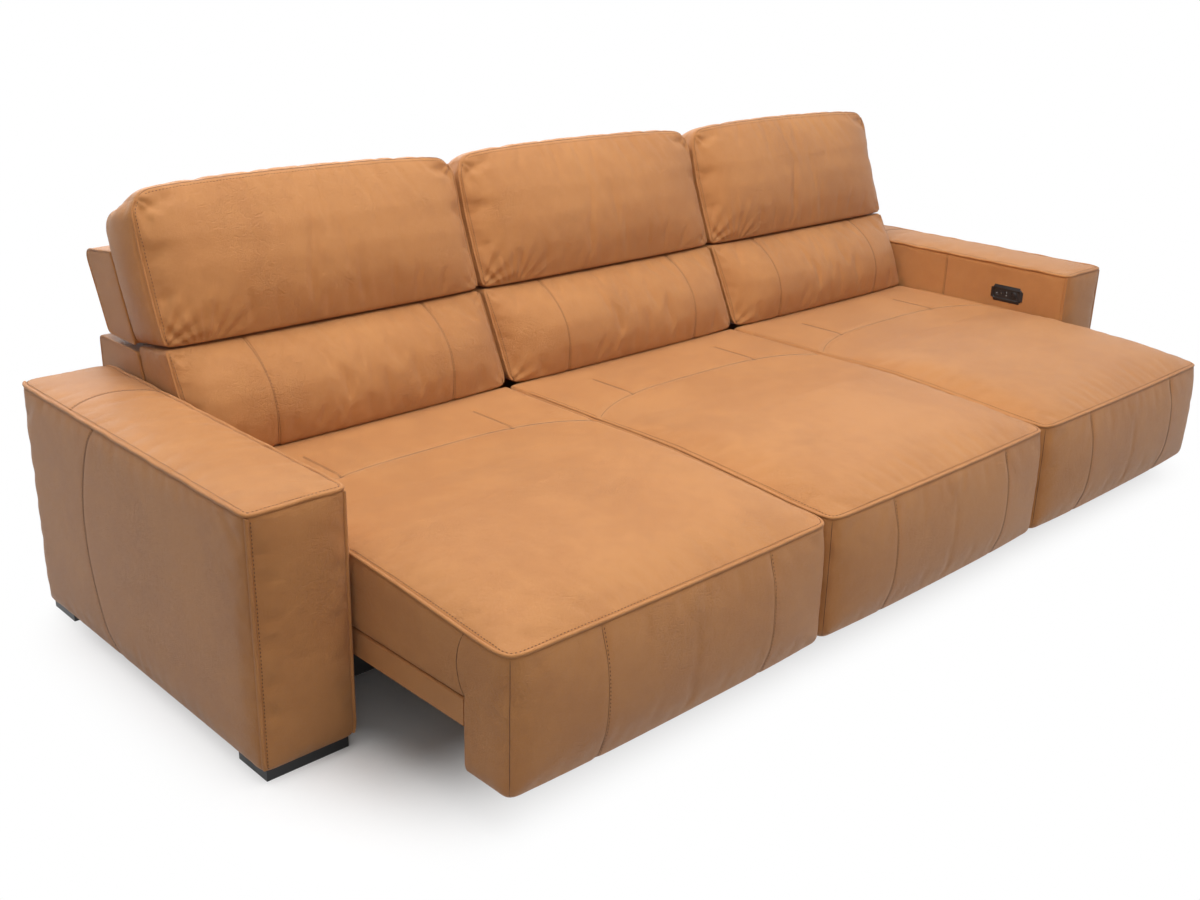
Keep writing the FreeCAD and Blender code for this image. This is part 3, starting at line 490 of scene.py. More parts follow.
def map_range(tree, value, low, high, to_low, to_high):
    """Maps a value to another range, smoothly."""
    made = put(
        tree, "ShaderNodeMapRange", {"interpolation_type": "SMOOTHSTEP"},
        Value=value, From_Min=low, From_Max=high, To_Min=to_low, To_Max=to_high)
    return made.outputs[0]


def noise(tree, vector, scale, detail=2.0, roughness=0.5, distortion=0.0):
    """A noise value."""
    made = put(
        tree, "ShaderNodeTexNoise", None,
        Vector=vector, Scale=scale, Detail=detail, Roughness=roughness, Distortion=distortion)
    return made.outputs[0]


def make_hide_group():
    """Leather grain, fine wrinkles, clouding, polish, and painted shade for seams and wrinkle creases."""
    group, given, sent = new_group(
        "hide_effects", (("Grain Size", 0.0022), ("Wrinkles", 1.0), ("Seam", 0.0)),
        ("Height", "Cloud", "Polish", "Crease Shade"))
    place = given.outputs["Place"]
    grain_scale = math_node(group, "DIVIDE", 1.0, given.outputs["Grain Size"])
    warp = put(group, "ShaderNodeTexNoise", None, Vector=place, Scale=60.0, Detail=2.0)
    bent = put(
        group, "ShaderNodeVectorMath", {"operation": "MULTIPLY_ADD"},
        in_0=warp.outputs[1], in_1=(0.004, 0.004, 0.004), in_2=place)
    cells = put(group, "ShaderNodeTexVoronoi", {"feature": "DISTANCE_TO_EDGE"}, Vector=bent.outputs[0],
                Scale=grain_scale)
    pebble = map_range(group, cells.outputs["Distance"], 0.0, 0.16, 0.0, 1.0)
    pore = noise(group, place, 900.0, 2.0)
    grain = math_node(group, "ADD", product(group, pebble, 0.55), product(group, pore, 0.3))
    lines = []
    for scale, thin, stretch in ((26.0, 0.035, (1.0, 1.6, 1.3)), (60.0, 0.05, (1.5, 1.0, 1.0))):
        turned = put(
            group, "ShaderNodeMapping", None,
            Vector=place, Rotation=(0.3, 0.5, 0.4 + scale / 30), Scale=stretch)
        streak = noise(group, turned.outputs[0], scale, 3.0, 0.55, 0.6)
        near = math_node(group, "ABSOLUTE", math_node(group, "SUBTRACT", streak, 0.5))
        lines.append(map_range(group, near, 0.0, thin, 1.0, 0.0))
    where = map_range(group, noise(group, place, 5.0, 2.0), 0.45, 0.65, 0.0, 1.0)
    folds = math_node(group, "MAXIMUM", lines[0], product(group, lines[1], 0.6))
    folds = product(group, folds, where)
    folds = product(group, folds, given.outputs["Wrinkles"])
    cloud = math_node(
        group, "ADD", product(group, noise(group, place, 3.2, 4.0, 0.6, 0.4), 0.65),
        product(group, noise(group, place, 22.0, 3.0, 0.6), 0.35))
    height = math_node(group, "SUBTRACT", grain, product(group, folds, 0.9))
    height = math_node(group, "ADD", height, product(group, noise(group, place, 90.0, 3.0), 0.8))
    polish = math_node(group, "ADD", product(group, cloud, 0.16), product(group, grain, 0.06))
    # Painted shade: the seam mark and the wrinkle creases, as an amount of darkening.
    dark = math_node(group, "MAXIMUM", given.outputs["Seam"], product(group, folds, 0.16))
    for value, label in ((height, "Height"), (cloud, "Cloud"), (polish, "Polish"), (dark, "Crease Shade")):
        group.links.new(value, sent.inputs[label])
    return group


def make_speckle_group():
    """Fine moulded or cast texture, and a wide mask for dusty patches."""
    group, given, sent = new_group("speckle", (("Size", 0.002),), ("Height", "Mask"))
    scale = math_node(group, "DIVIDE", 1.0, given.outputs["Size"])
    fine = noise(group, given.outputs["Place"], scale, 3.0, 0.6)
    wide = noise(group, given.outputs["Place"], 9.0, 3.0, 0.6)
    group.links.new(fine, sent.inputs["Height"])
    group.links.new(map_range(group, wide, 0.35, 0.7, 0.0, 1.0), sent.inputs["Mask"])
    return group


HIDE_GROUP = make_hide_group()
SPECKLE_GROUP = make_speckle_group()


def new_material(name):
    """A material with a Principled shader, and the Object coordinates to feed it."""
    material = bpy.data.materials.new(name)
    material.use_nodes = True
    tree = material.node_tree
    tree.nodes.clear()
    shader = tree.nodes.new("ShaderNodeBsdfPrincipled")
    output = tree.nodes.new("ShaderNodeOutputMaterial")
    tree.links.new(shader.outputs[0], output.inputs[0])
    place = tree.nodes.new("ShaderNodeTexCoord").outputs["Object"]
    return material, tree, shader, place


def mixed(tree, amount, first, second):
    """Two colours mixed by an amount."""
    made = tree.nodes.new("ShaderNodeMix")
    made.data_type = "RGBA"
    for socket, value in ((made.inputs[0], amount), (made.inputs[6], first), (made.inputs[7], second)):
        if isinstance(value, bpy.types.NodeSocket):
            tree.links.new(value, socket)
        else:
            socket.default_value = value
    return made.outputs[2]


def bump(tree, height, distance, strength):
    """A bump normal."""
    made = put(tree, "ShaderNodeBump", None, Height=height, Distance=distance, Strength=strength)
    return made.outputs[0]


def make_hide(name, colours, wrinkles=1.0, seams=True):
    """Aniline leather, with painted shade in its seams and wrinkle creases."""
    material, tree, shader, place = new_material(name)
    effects = put(tree, "ShaderNodeGroup", {"node_tree": HIDE_GROUP}, Place=place, Wrinkles=wrinkles)
    if seams:
        # The seam attribute is painted shade along the sewn creases.
        seam = put(tree, "ShaderNodeAttribute", {"attribute_name": "seam"})
        tree.links.new(seam.outputs["Fac"], effects.inputs["Seam"])
    cloud = map_range(tree, effects.outputs["Cloud"], 0.36, 0.64, 0.0, 1.0)
    plain = mixed(tree, cloud, tuple(colours.hide), tuple(colours.hide_light))
    # Painted shade: seams and wrinkle creases are mixed towards the dark hide colour.
    fold = map_range(tree, effects.outputs["Crease Shade"], 0.0, 1.0, 0.0, 0.75)
    colour = mixed(tree, fold, plain, tuple(colours.hide_painted_shade))
    tree.links.new(colour, shader.inputs["Base Color"])
    rough = math_node(tree, "ADD", 0.36, effects.outputs["Polish"])
    tree.links.new(rough, shader.inputs["Roughness"])
    tree.links.new(bump(tree, effects.outputs["Height"], 0.0012, 0.9), shader.inputs["Normal"])
    glance = put(tree, "ShaderNodeLayerWeight", None, Blend=0.5)
    wax = map_range(tree, glance.outputs["Facing"], 0.30, 0.75, 0.0, 0.10)
    tree.links.new(wax, shader.inputs["Coat Weight"])
    for label, value in (
            ("Coat Roughness", 0.40), ("Coat IOR", 1.6), ("Specular IOR Level", 0.28), ("Sheen Weight", 0.12),
            ("Sheen Roughness", 0.42)):
        shader.inputs[label].default_value = value
    return material


def make_speckled(name, colour, rough, metallic, size):
    """Moulded plastic or coated metal."""
    material, tree, shader, place = new_material(name)
    effects = put(tree, "ShaderNodeGroup", {"node_tree": SPECKLE_GROUP}, Place=place, Size=size)
    worn = tuple(min(1.0, part * 1.5 + 0.01) for part in colour[:3]) + (1.0,)
    amount = product(tree, effects.outputs["Mask"], 0.25)
    tree.links.new(mixed(tree, amount, tuple(colour), worn), shader.inputs["Base Color"])
    roughness = map_range(tree, effects.outputs["Mask"], 0.0, 1.0, rough - 0.06, rough + 0.08)
    tree.links.new(roughness, shader.inputs["Roughness"])
    tree.links.new(bump(tree, effects.outputs["Height"], 0.0002, 0.5), shader.inputs["Normal"])
    shader.inputs["Metallic"].default_value = metallic
    return material


def make_thread(name, colour):
    """Twisted polyester thread."""
    material, tree, shader, place = new_material(name)
    twist = put(
        tree, "ShaderNodeTexWave", {"bands_direction": "DIAGONAL"}, Vector=place, Scale=260.0, Distortion=1.0)
    dark = tuple(part * 0.7 for part in colour[:3]) + (1.0,)
    tree.links.new(mixed(tree, twist.outputs[1], dark, tuple(colour)), shader.inputs["Base Color"])
    tree.links.new(bump(tree, twist.outputs[1], 0.0002, 0.5), shader.inputs["Normal"])
    shader.inputs["Roughness"].default_value = 0.6
    return material


def make_timber(name):
    """Planed softwood and plywood."""
    material, tree, shader, place = new_material(name)
    stretched = put(tree, "ShaderNodeMapping", None, Vector=place, Scale=(1.2, 9.0, 9.0))
    rings = put(tree, "ShaderNodeTexWave", {"bands_direction": "Z"}, Vector=stretched.outputs[0], Scale=3.0,
                Distortion=5.0, Detail=3.0)
    fibre = noise(tree, stretched.outputs[0], 60.0, 3.0)
    amount = math_node(tree, "ADD", product(tree, rings.outputs[1], 0.6), product(tree, fibre, 0.4))
    colour = mixed(tree, amount, (0.50, 0.33, 0.17, 1), (0.72, 0.54, 0.32, 1))
    tree.links.new(colour, shader.inputs["Base Color"])
    tree.links.new(bump(tree, fibre, 0.0004, 0.4), shader.inputs["Normal"])
    shader.inputs["Roughness"].default_value = 0.62
    return material


def make_webbing(name):
    """Woven elastic webbing."""
    material, tree, shader, place = new_material(name)
    weave = put(tree, "ShaderNodeTexBrick", {"offset": 0.5}, Vector=place, Scale=90.0, Mortar_Size=0.05,
                Color1=(0.05, 0.05, 0.055, 1), Color2=(0.10, 0.10, 0.105, 1), Mortar=(0.015, 0.015, 0.015, 1))
    tree.links.new(weave.outputs[0], shader.inputs["Base Color"])
    tree.links.new(bump(tree, weave.outputs[1], 0.0005, 0.6), shader.inputs["Normal"])
    shader.inputs["Roughness"].default_value = 0.8
    return material


MATERIALS = {}


def make_materials():
    """Makes every material of the sofa once."""
    colours = bpy.context.scene.sofa_colours
    MATERIALS["hide"] = make_hide("leather_cover", colours)
    MATERIALS["piping"] = make_hide("leather_piping", colours, wrinkles=0.3, seams=False)
    MATERIALS["thread"] = make_thread("sewing_thread", colours.thread)
    MATERIALS["pale_thread"] = make_thread("pale_sewing_thread", (0.66, 0.38, 0.18, 1))
    # A dark brown material for the tubes of painted shade laid in the seams.
    MATERIALS["gap"] = make_thread("painted_seam_shade", (0.10, 0.034, 0.012, 1))
    MATERIALS["leather"] = make_hide("leather_rail", colours, wrinkles=0.4, seams=False)
    MATERIALS["timber"] = make_timber("planed_timber")
    for name, full_name, colour, rough, metallic, size in (
            ("black_timber", "black_stained_timber", (0.018, 0.017, 0.016, 1), 0.6, 0.0, 0.004),
            ("black_plastic", "black_foot_plastic", colours.black, 0.45, 0.0, 0.002),
            ("steel", "zinc_steel", (0.56, 0.57, 0.59, 1), 0.34, 1.0, 0.006),
            ("hinge_steel", "black_oxide_steel", (0.06, 0.06, 0.065, 1), 0.4, 1.0, 0.002),
            ("drive_black", "drive_housing", (0.02, 0.02, 0.022, 1), 0.42, 0.0, 0.002),
            ("switch_black", "switch_plate_plastic", (0.013, 0.013, 0.015, 1), 0.36, 0.0, 0.0012),
            ("button_black", "button_plastic", (0.009, 0.009, 0.011, 1), 0.26, 0.0, 0.0012),
            ("mark", "pale_mark", (0.75, 0.76, 0.78, 1), 0.5, 0.0, 0.002)):
        MATERIALS[name] = make_speckled(full_name, colour, rough, metallic, size)
    MATERIALS["webbing"] = make_webbing("elastic_webbing")


# Shapes of the covers. Each takes a point's place on an even block and gives its place on the sofa.

def soft_line(values, knots):
    """Reads a line through (position, number, ...) rows as a smooth curve."""
    knots = np.array(knots)
    fine = np.linspace(knots[0, 0], knots[-1, 0], 400)
    read = []
    for column in range(1, knots.shape[1]):
        line = np.interp(fine, knots[:, 0], knots[:, column])
        padded = np.concatenate([2 * line[0] - line[40:0:-1], line, 2 * line[-1] - line[-2:-42:-1]])
        kernel = np.hanning(17)
        kernel /= kernel.sum()
        eased = np.convolve(padded, kernel, mode="same")[40:-40]
        read.append(np.interp(values, fine, eased))
    return read


def dome(across, power, edge=1.0):
    """0 at both sides and 1 in the middle."""
    return np.clip(1 - np.abs(2 * across - 1) ** power, 0, 1) ** edge


def round_corner(first, second, centre, half, start, radius):
    """Rounds the corners of a plan: first runs to both sides of centre by half, second ends at start."""
    inner_first = np.clip(first, centre - half + radius, centre + half - radius)
    inner_second = np.maximum(second, start + radius)
    away_first = first - inner_first
    away_second = second - inner_second
    longest = np.maximum(np.abs(away_first), np.abs(away_second))
    length = np.hypot(away_first, away_second)
    share = np.where(length > 1e-9, longest / np.maximum(length, 1e-9), 1.0)
    return inner_first + away_first * share, inner_second + away_second * share


SEAT_ROWS_TOP = 92
SEAT_ROWS_FRONT = 26
SEAT_EDGE = SEAT_ROWS_TOP / (SEAT_ROWS_TOP + SEAT_ROWS_FRONT)
SEAT_REAR, SEAT_NOSE, SEAT_BACK_OF_DROP = 0.315, -0.800, -0.665
SEAT_UNDER, DROP_END = 0.2690, 0.100
SEAT_WRAP = 1.42
STITCH_ASIDE = 0.0045
PIPING_STEP = 0.008
THIN_PIPING = 0.0028


def seat_height(deep):
    """Height of the side piping at a depth, and how much of the crown stands there."""
    return soft_line(-deep, (
        (-0.315, 0.4385, 0.095), (0.11, 0.4385, 0.10), (0.20, 0.4385, 0.40), (0.32, 0.437, 0.68),
        (0.45, 0.4285, 0.90), (0.60, 0.4165, 1.0), (0.69, 0.4085, 0.93), (0.75, 0.4060, 0.66),
        (0.80, 0.4045, 0.12)))


def seat_place(across, along, through):
    """A seat cover: the top from the rear to the nose, then the drop front down to its end."""
    sizes = bpy.context.scene.sofa_sizes
    half = sizes.cushion_width / 2
    x = (across * 2 - 1) * half
    on_top = np.clip(along / SEAT_EDGE, 0, 1)
    down = np.clip((along - SEAT_EDGE) / (1 - SEAT_EDGE), 0, 1)
    outer_y = SEAT_REAR + (SEAT_NOSE - SEAT_REAR) * on_top
    height, crowned = seat_height(outer_y)
    outer_z = height + (DROP_END - height) * down
    inner_y = SEAT_REAR + (SEAT_BACK_OF_DROP - SEAT_REAR) * on_top
    inner_z = SEAT_UNDER + (DROP_END - SEAT_UNDER) * down
    lift = sizes.seat_crown * crowned * dome(across, 4.6, 0.62) * np.where(down > 0, (1 - down) ** 6, 1)
    to_nose = np.clip(1 - (outer_y - SEAT_NOSE) / 0.20, 0, 1) ** 2
    bow = 0.010 * dome(across, 3.0) * np.where(down > 0, 1, to_nose)
    belly = np.where(down > 0, np.sin(math.pi * np.clip(down, 0, 1)) ** 0.75, 0)
    bulge = bow + sizes.front_bulge * dome(across, 3.6, 0.8) * belly
    y = inner_y + (outer_y - bulge - inner_y) * through
    z = inner_z + (outer_z + lift - inner_z) * through
    radius = sizes.seat_corner - (sizes.seat_corner - 0.018) * np.clip(down * 2.5, 0, 1)
    front = SEAT_NOSE - bulge * through
    x, y = round_corner(x, y, 0, half, front, radius)
    low = down > 0.5
    lower_y, lower_z = round_corner(y, z, front + 1, 1, DROP_END, 0.022)
    y = np.where(low, lower_y, y)
    z = np.where(low, lower_z, z)
    lower_x, lower_z = round_corner(x, z, 0, half, DROP_END, 0.020)
    x = np.where(low, lower_x, x)
    z = np.where(low, lower_z, z)
    return np.stack([x, y, z], axis=1)


HEAD_TALL, LUMBAR_TALL = 0.352, 0.266


def roll_out(y, z, along, across, through, swell_by, shape):
    """Swells the front of a back cushion by a share for each height. Its lower edge rolls forward."""
    amount = swell_by * soft_line(along, shape)[0] * dome(across, 4.6, 0.7) * through ** 1.5
    return y - amount * 0.96, z + amount * 0.34 * np.clip(along * 2.2, 0, 1) ** 1.5


def head_place(across, along, through):
    """A head cushion: along runs up, through runs forward."""
    sizes = bpy.context.scene.sofa_sizes
    half = sizes.cushion_width / 2 - 0.001
    x = (across * 2 - 1) * half
    x, risen = round_corner(x, along * HEAD_TALL, 0, half, 0, 0.018)
    x, fallen = round_corner(x, -risen, 0, half, -HEAD_TALL, 0.055)
    up = -fallen / HEAD_TALL
    front_y, front_z = soft_line(up, (
        (0.0, 0.4310, 0.6915), (0.28, 0.474, 0.796), (0.52, 0.506, 0.880), (0.92, 0.541, 1.005),
        (1.0, 0.547, 1.036)))
    rear_y, rear_z = soft_line(up, (
        (0.0, 0.5755, 0.6695), (0.62, 0.660, 0.880), (0.78, 0.677, 0.925), (0.92, 0.672, 0.962),
        (1.0, 0.655, 0.984)))
    y = rear_y + (front_y - rear_y) * through
    z = rear_z + (front_z - rear_z) * through
    y, z = roll_out(y, z, up, across, through, sizes.head_swell, (
        (0.0, 0.22), (0.04, 0.44), (0.10, 0.66), (0.25, 0.93), (0.42, 1.0), (0.65, 0.86), (0.85, 0.52),
        (0.95, 0.26), (1.0, 0.06)))
    bow = 4 * through * (1 - through)
    z = z + (0.015 * through + 0.014 * bow) * dome(across, 3.0) * np.clip((up - 0.7) / 0.3, 0, 1) ** 2
    z = z + 0.005 * bow * np.clip((up - 0.7) / 0.3, 0, 1) ** 2
    return np.stack([x, y, z], axis=1)


def lumbar_place(across, along, through):
    """A lumbar cushion: along runs up, through runs forward."""
    sizes = bpy.context.scene.sofa_sizes
    half = sizes.cushion_width / 2 - 0.001
    x = (across * 2 - 1) * half
    x, risen = round_corner(x, along * LUMBAR_TALL, 0, half, 0, 0.026)
    x, fallen = round_corner(x, -risen, 0, half, -LUMBAR_TALL, 0.012)
    along = -fallen / LUMBAR_TALL
    front_y = 0.312 + (0.4310 - 0.312) * along
    front_z = 0.4440 + (0.6870 - 0.4440) * along
    rear_y = 0.5005 + (0.5725 - 0.5005) * along
    rear_z = 0.4440 + (0.6655 - 0.4440) * along
    y = rear_y + (front_y - rear_y) * through
    z = rear_z + (front_z - rear_z) * through
    y, z = roll_out(y, z, along, across, through, sizes.lumbar_swell, (
        (0.0, 0.30), (0.04, 0.48), (0.105, 0.66), (0.27, 0.92), (0.476, 1.0), (0.68, 0.84), (0.85, 0.54),
        (0.955, 0.22), (1.0, 0.0)))
    return np.stack([x, y, z], axis=1)


ARM_INNER, ARM_OUTER = 1.4155, 1.6415
ARM_FRONT, ARM_REAR = -0.326, 0.715
ARM_LOW, ARM_HIGH = 0.024, 0.590


def arm_place(across, along, through):
    """The left arm: across runs from its outer to its inner side, along runs back, through runs up."""
    x = -ARM_OUTER + (ARM_OUTER - ARM_INNER) * across
    y = ARM_FRONT + (ARM_REAR - ARM_FRONT) * along
    z = ARM_LOW + (ARM_HIGH - ARM_LOW) * through
    middle = -(ARM_INNER + ARM_OUTER) / 2
    half = (ARM_OUTER - ARM_INNER) / 2
    outward = 1 - across
    plump = np.sin(math.pi * along) ** 0.5 * np.sin(math.pi * through) ** 0.5
    x, y = round_corner(x, y, middle, half, ARM_FRONT, 0.020)
    x, flipped = round_corner(x, -y, middle, half, -ARM_REAR, 0.042)
    y = -flipped
    x, z = round_corner(x, z, middle, half, ARM_LOW, 0.020)
    far = (ARM_FRONT + ARM_REAR) / 2
    y, z = round_corner(y, z, far, (ARM_REAR - ARM_FRONT) / 2, ARM_LOW, 0.022)
    x = x - 0.010 * plump * outward
    y = y + 0.008 * (2 * along - 1) * np.sin(math.pi * through) ** 0.6 * np.sin(math.pi * across) ** 0.6
    z = z + 0.008 * np.sin(math.pi * along) ** 0.5 * np.sin(math.pi * across) ** 0.6 * through
    return np.stack([x, y, z], axis=1)


def line_on(place, start, end, steps=60):
    """A straight line on an even block, laid out on the sofa."""
    share = np.linspace(0, 1, steps)[:, None]
    rows = np.array(start) * (1 - share) + np.array(end) * share
    return place(rows[:, 0], rows[:, 1], rows[:, 2])


def join_lines(*lines):
    """Lines one after another."""
    return np.concatenate(lines)


def shift(rows, centre):
    """Moves a line to a seat's middle."""
    return rows + np.array([centre, 0, 0])


def shift_all(lines, centre):
    """Moves lines to a seat's middle."""
    return [shift(line, centre) for line in lines]


def stray(piece, seed, amount):
    """Makes one copy of a cushion lie a little differently from the next."""
    points = read_points(piece)
    normals = read_points(piece, "normal")
    wander = np.zeros(len(points))
    for number in range(5):
        turn = seed * 2.3 + number * 1.7
        way = np.array([math.cos(turn), math.sin(turn * 1.3), math.sin(turn)]) * (5 + 3.5 * number)
        wander += np.sin(points @ way + turn * 3) / (1 + number * 0.6)
    free = 1 - np.clip(read_value(piece, "kept"), 0, 1)
    write_points(piece, points + normals * (wander * amount * free * 0.4)[:, None])


def place_copies(pattern, stem, body, replaced, amount):
    """Sets a copy of a cushion on each seat."""
    made = {}
    for number, side in enumerate(SEATS):
        piece = copy_of(pattern, stem + "_" + side)
        move_sideways(piece, SEAT_CENTRE[side])
        stray(piece, number + 1, amount)
        if stem == "head_pad" and side != "middle":
            swell_free_side(piece, side, 0.015)
        finish_piece(piece, body(side), MATERIALS["hide"])
        smooth(piece)
        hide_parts(*[name + "_" + side for name in replaced])
        made[side] = piece
    bpy.data.objects.remove(pattern)
    return made


def swell_free_side(piece, side, amount):
    """Lets the outer side of an end cushion, which has no neighbour, stand further out."""
    across, along, through = block_place(piece)
    outward = across if side == "right" else 1 - across
    share = np.clip((outward - 0.96) / 0.04, 0, 1) ** 2
    share *= np.sin(math.pi * np.clip(along, 0, 1)) ** 0.7 * np.sin(math.pi * np.clip(through, 0, 1)) ** 0.8
    points = read_points(piece)
    points[:, 0] += (1 if side == "right" else -1) * amount * share
    write_points(piece, points)


def gather(piece, wide, tall, corner, reach, folds, depth, phase):
    """Sews small folds into the front of a cushion that fan out from one corner."""
    across, along, through = block_place(piece)
    sideways = (across - corner[0]) * wide
    upward = (along - corner[1]) * tall
    away = np.hypot(sideways, upward)
    turn = np.arctan2(upward, sideways)
    fade = np.clip(away / 0.012, 0, 1) * np.exp(-((away / reach) ** 2))
    fade *= np.clip((through - 0.93) / 0.07, 0, 1)
    to_side = np.minimum(across, 1 - across) * wide
    to_end = np.minimum(along, 1 - along) * tall
    edge = np.clip(np.minimum(to_side, to_end) / 0.010, 0, 1)
    wave = np.sin(turn * folds + phase + away * 18)
    points = read_points(piece)
    normals = read_points(piece, "normal")
    write_points(piece, points + normals * (depth * fade * edge * (wave - 0.3))[:, None])


def at_value(values, *wanted):
    """Where values are at one of the wanted numbers."""
    return np.any([np.abs(values - number) < SAME for number in wanted], axis=0)


# Operators

class SOFA_OT_seat_pads(bpy.types.Operator):
    """Makes the three seat cushions with their drop fronts, piping and stitching"""

    bl_idname = "sofa.seat_pads"
    bl_label = "Seat cushions"

    def execute(self, context):
        sizes = context.scene.sofa_sizes
        pattern = even_block("seat_pattern", 76, SEAT_ROWS_TOP + SEAT_ROWS_FRONT, 12)
        lay_out(pattern, seat_place)
        across, along, through = block_place(pattern)
        side = at_value(across, 0, 1)
        piped = at_value(through, 1) & (side | at_value(along, SEAT_EDGE))
        held = at_value(through, 0) | at_value(along, 0, 1) | piped
        deep = read_points(pattern)[:, 1]
        rear = deep > -0.13
        reach = np.where(side, 0.0035, np.interp(deep, (-0.34, -0.12), (0.007, 0.0012)))
        swell(pattern, held, reach, pressure=3.0, slack=0.008)
        write_value(pattern, "kept", (held | side | rear).astype(float))
        divide(pattern)
        margin = 0.0075 / sizes.cushion_width
        strip = 0.0075 / SEAT_WRAP
        seam = sizes.panel_seam / sizes.cushion_width
        top_edge = join_lines(
            line_on(seat_place, (0, 0.06, 1), (0, SEAT_EDGE, 1), 110),
            line_on(seat_place, (0.004, SEAT_EDGE, 1), (0.996, SEAT_EDGE, 1), 110),
            line_on(seat_place, (1, SEAT_EDGE, 1), (1, 0.06, 1), 110))
        row = SEAT_EDGE - strip
        top_stitch = join_lines(
            line_on(seat_place, (margin, 0.06, 1), (margin, row, 1), 110),
            line_on(seat_place, (margin * 1.3, row, 1), (1 - margin * 1.3, row, 1), 110),
            line_on(seat_place, (1 - margin, row, 1), (1 - margin, 0.06, 1), 110))
        share = np.linspace(0.004, 0.996, 90)
        bend = 0.055 - 0.10 * np.abs(2 * share - 1) ** 3.4
        cross_at = (SEAT_REAR - bend) / (SEAT_REAR - SEAT_NOSE) * SEAT_EDGE
        cross = seat_place(share, cross_at, np.ones_like(share))
        stitch_lines = [top_stitch]
        pale_lines = []
        plain_seams = [cross]
        for offset in (-STITCH_ASIDE, STITCH_ASIDE):
            pale_lines.append(seat_place(share, cross_at + offset / SEAT_WRAP, np.ones_like(share)))
        for way in (-1, 1):
            at = 0.5 + way * seam
            start = float(np.interp(at, share, cross_at))
            high = at - way * 0.01
            low = at - way * 0.012
            aside = STITCH_ASIDE
            begin = SEAT_EDGE + 0.01
            plain_seams.append(line_on(seat_place, (at, 0.08, 1), (at, start, 1)))
            plain_seams.append(line_on(seat_place, (high, SEAT_EDGE, 1), (low, 1, 1)))
            stitch_lines.append(line_on(seat_place, (at + 0.004, 0.08, 1), (at + 0.004, start, 1)))
            stitch_lines.append(line_on(seat_place, (high + aside, begin, 1), (low + aside, 0.995, 1)))
        corner_seams = []
        side_seams = []
        for end in (0.0, 1.0):
            corner_seams.append(line_on(seat_place, (end, SEAT_EDGE, 1), (end, 1, 1)))
            fall = np.linspace(0.0, 1.0, 40)
            side_seams.append(np.stack([
                np.full(40, (end * 2 - 1) * sizes.cushion_width / 2), -0.669 + 0.018 * np.sin(math.pi * fall),
                0.405 - 0.134 * fall], axis=1))
        crease(pattern, [top_edge], 0.006, 0.0015, 0.45)
        crease(pattern, [cross], 0.011, 0.0035, 0.2)
        crease(pattern, plain_seams[1:], 0.008, 0.0025, 0.2)
        crease(pattern, corner_seams + side_seams, 0.007, 0.0016, 0.2)
        pads = place_copies(
            pattern, "seat_pad", lambda side: "seat_" + side, ("seat_cushion", "seat_front"), 0.0012)
        plain_seams += corner_seams + side_seams
        for name, pad in pads.items():
            centre = SEAT_CENTRE[name]
            tree = surface_of(pad)
            edge_line = calm(on_surface(tree, shift(top_edge, centre), 0.0012)[0], 2)
            body = "seat_" + name
            tube("seat_piping_" + name, [even_steps(edge_line, PIPING_STEP)], sizes.piping, body)
            stitching("seat_stitching_" + name, tree, shift_all(stitch_lines, centre), body)
            stitching(
                "seat_cross_stitching_" + name, tree, shift_all(pale_lines, centre), body, "pale_thread")
            seam_shade_lines("seat_seams_" + name, tree, shift_all(plain_seams, centre), body)
        return {"FINISHED"}


def press_up(piece, stem):
    """Gives a back cushion or a piece of its trim a mesh of its own."""
    if stem == "lumbar_pad":
        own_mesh(piece)
    else:
        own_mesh(piece)


GATHERS = {
    "head_pad": (
        ((-0.01, -0.02), 0.105, 17, 0.0034, 0.4), ((0.11, -0.10), 0.125, 21, 0.0026, 1.3),
        ((1.01, -0.02), 0.075, 15, 0.0024, 2.2), ((-0.01, 1.02), 0.085, 15, 0.0030, 0.9),
        ((1.01, 1.02), 0.080, 14, 0.0026, 1.9)),
    "lumbar_pad": (
        ((-0.01, -0.03), 0.080, 15, 0.0028, 0.2), ((-0.01, 1.03), 0.070, 13, 0.0022, 1.0),
        ((1.01, -0.03), 0.070, 14, 0.0022, 2.0), ((1.01, 1.03), 0.060, 12, 0.0018, 0.6)),
}


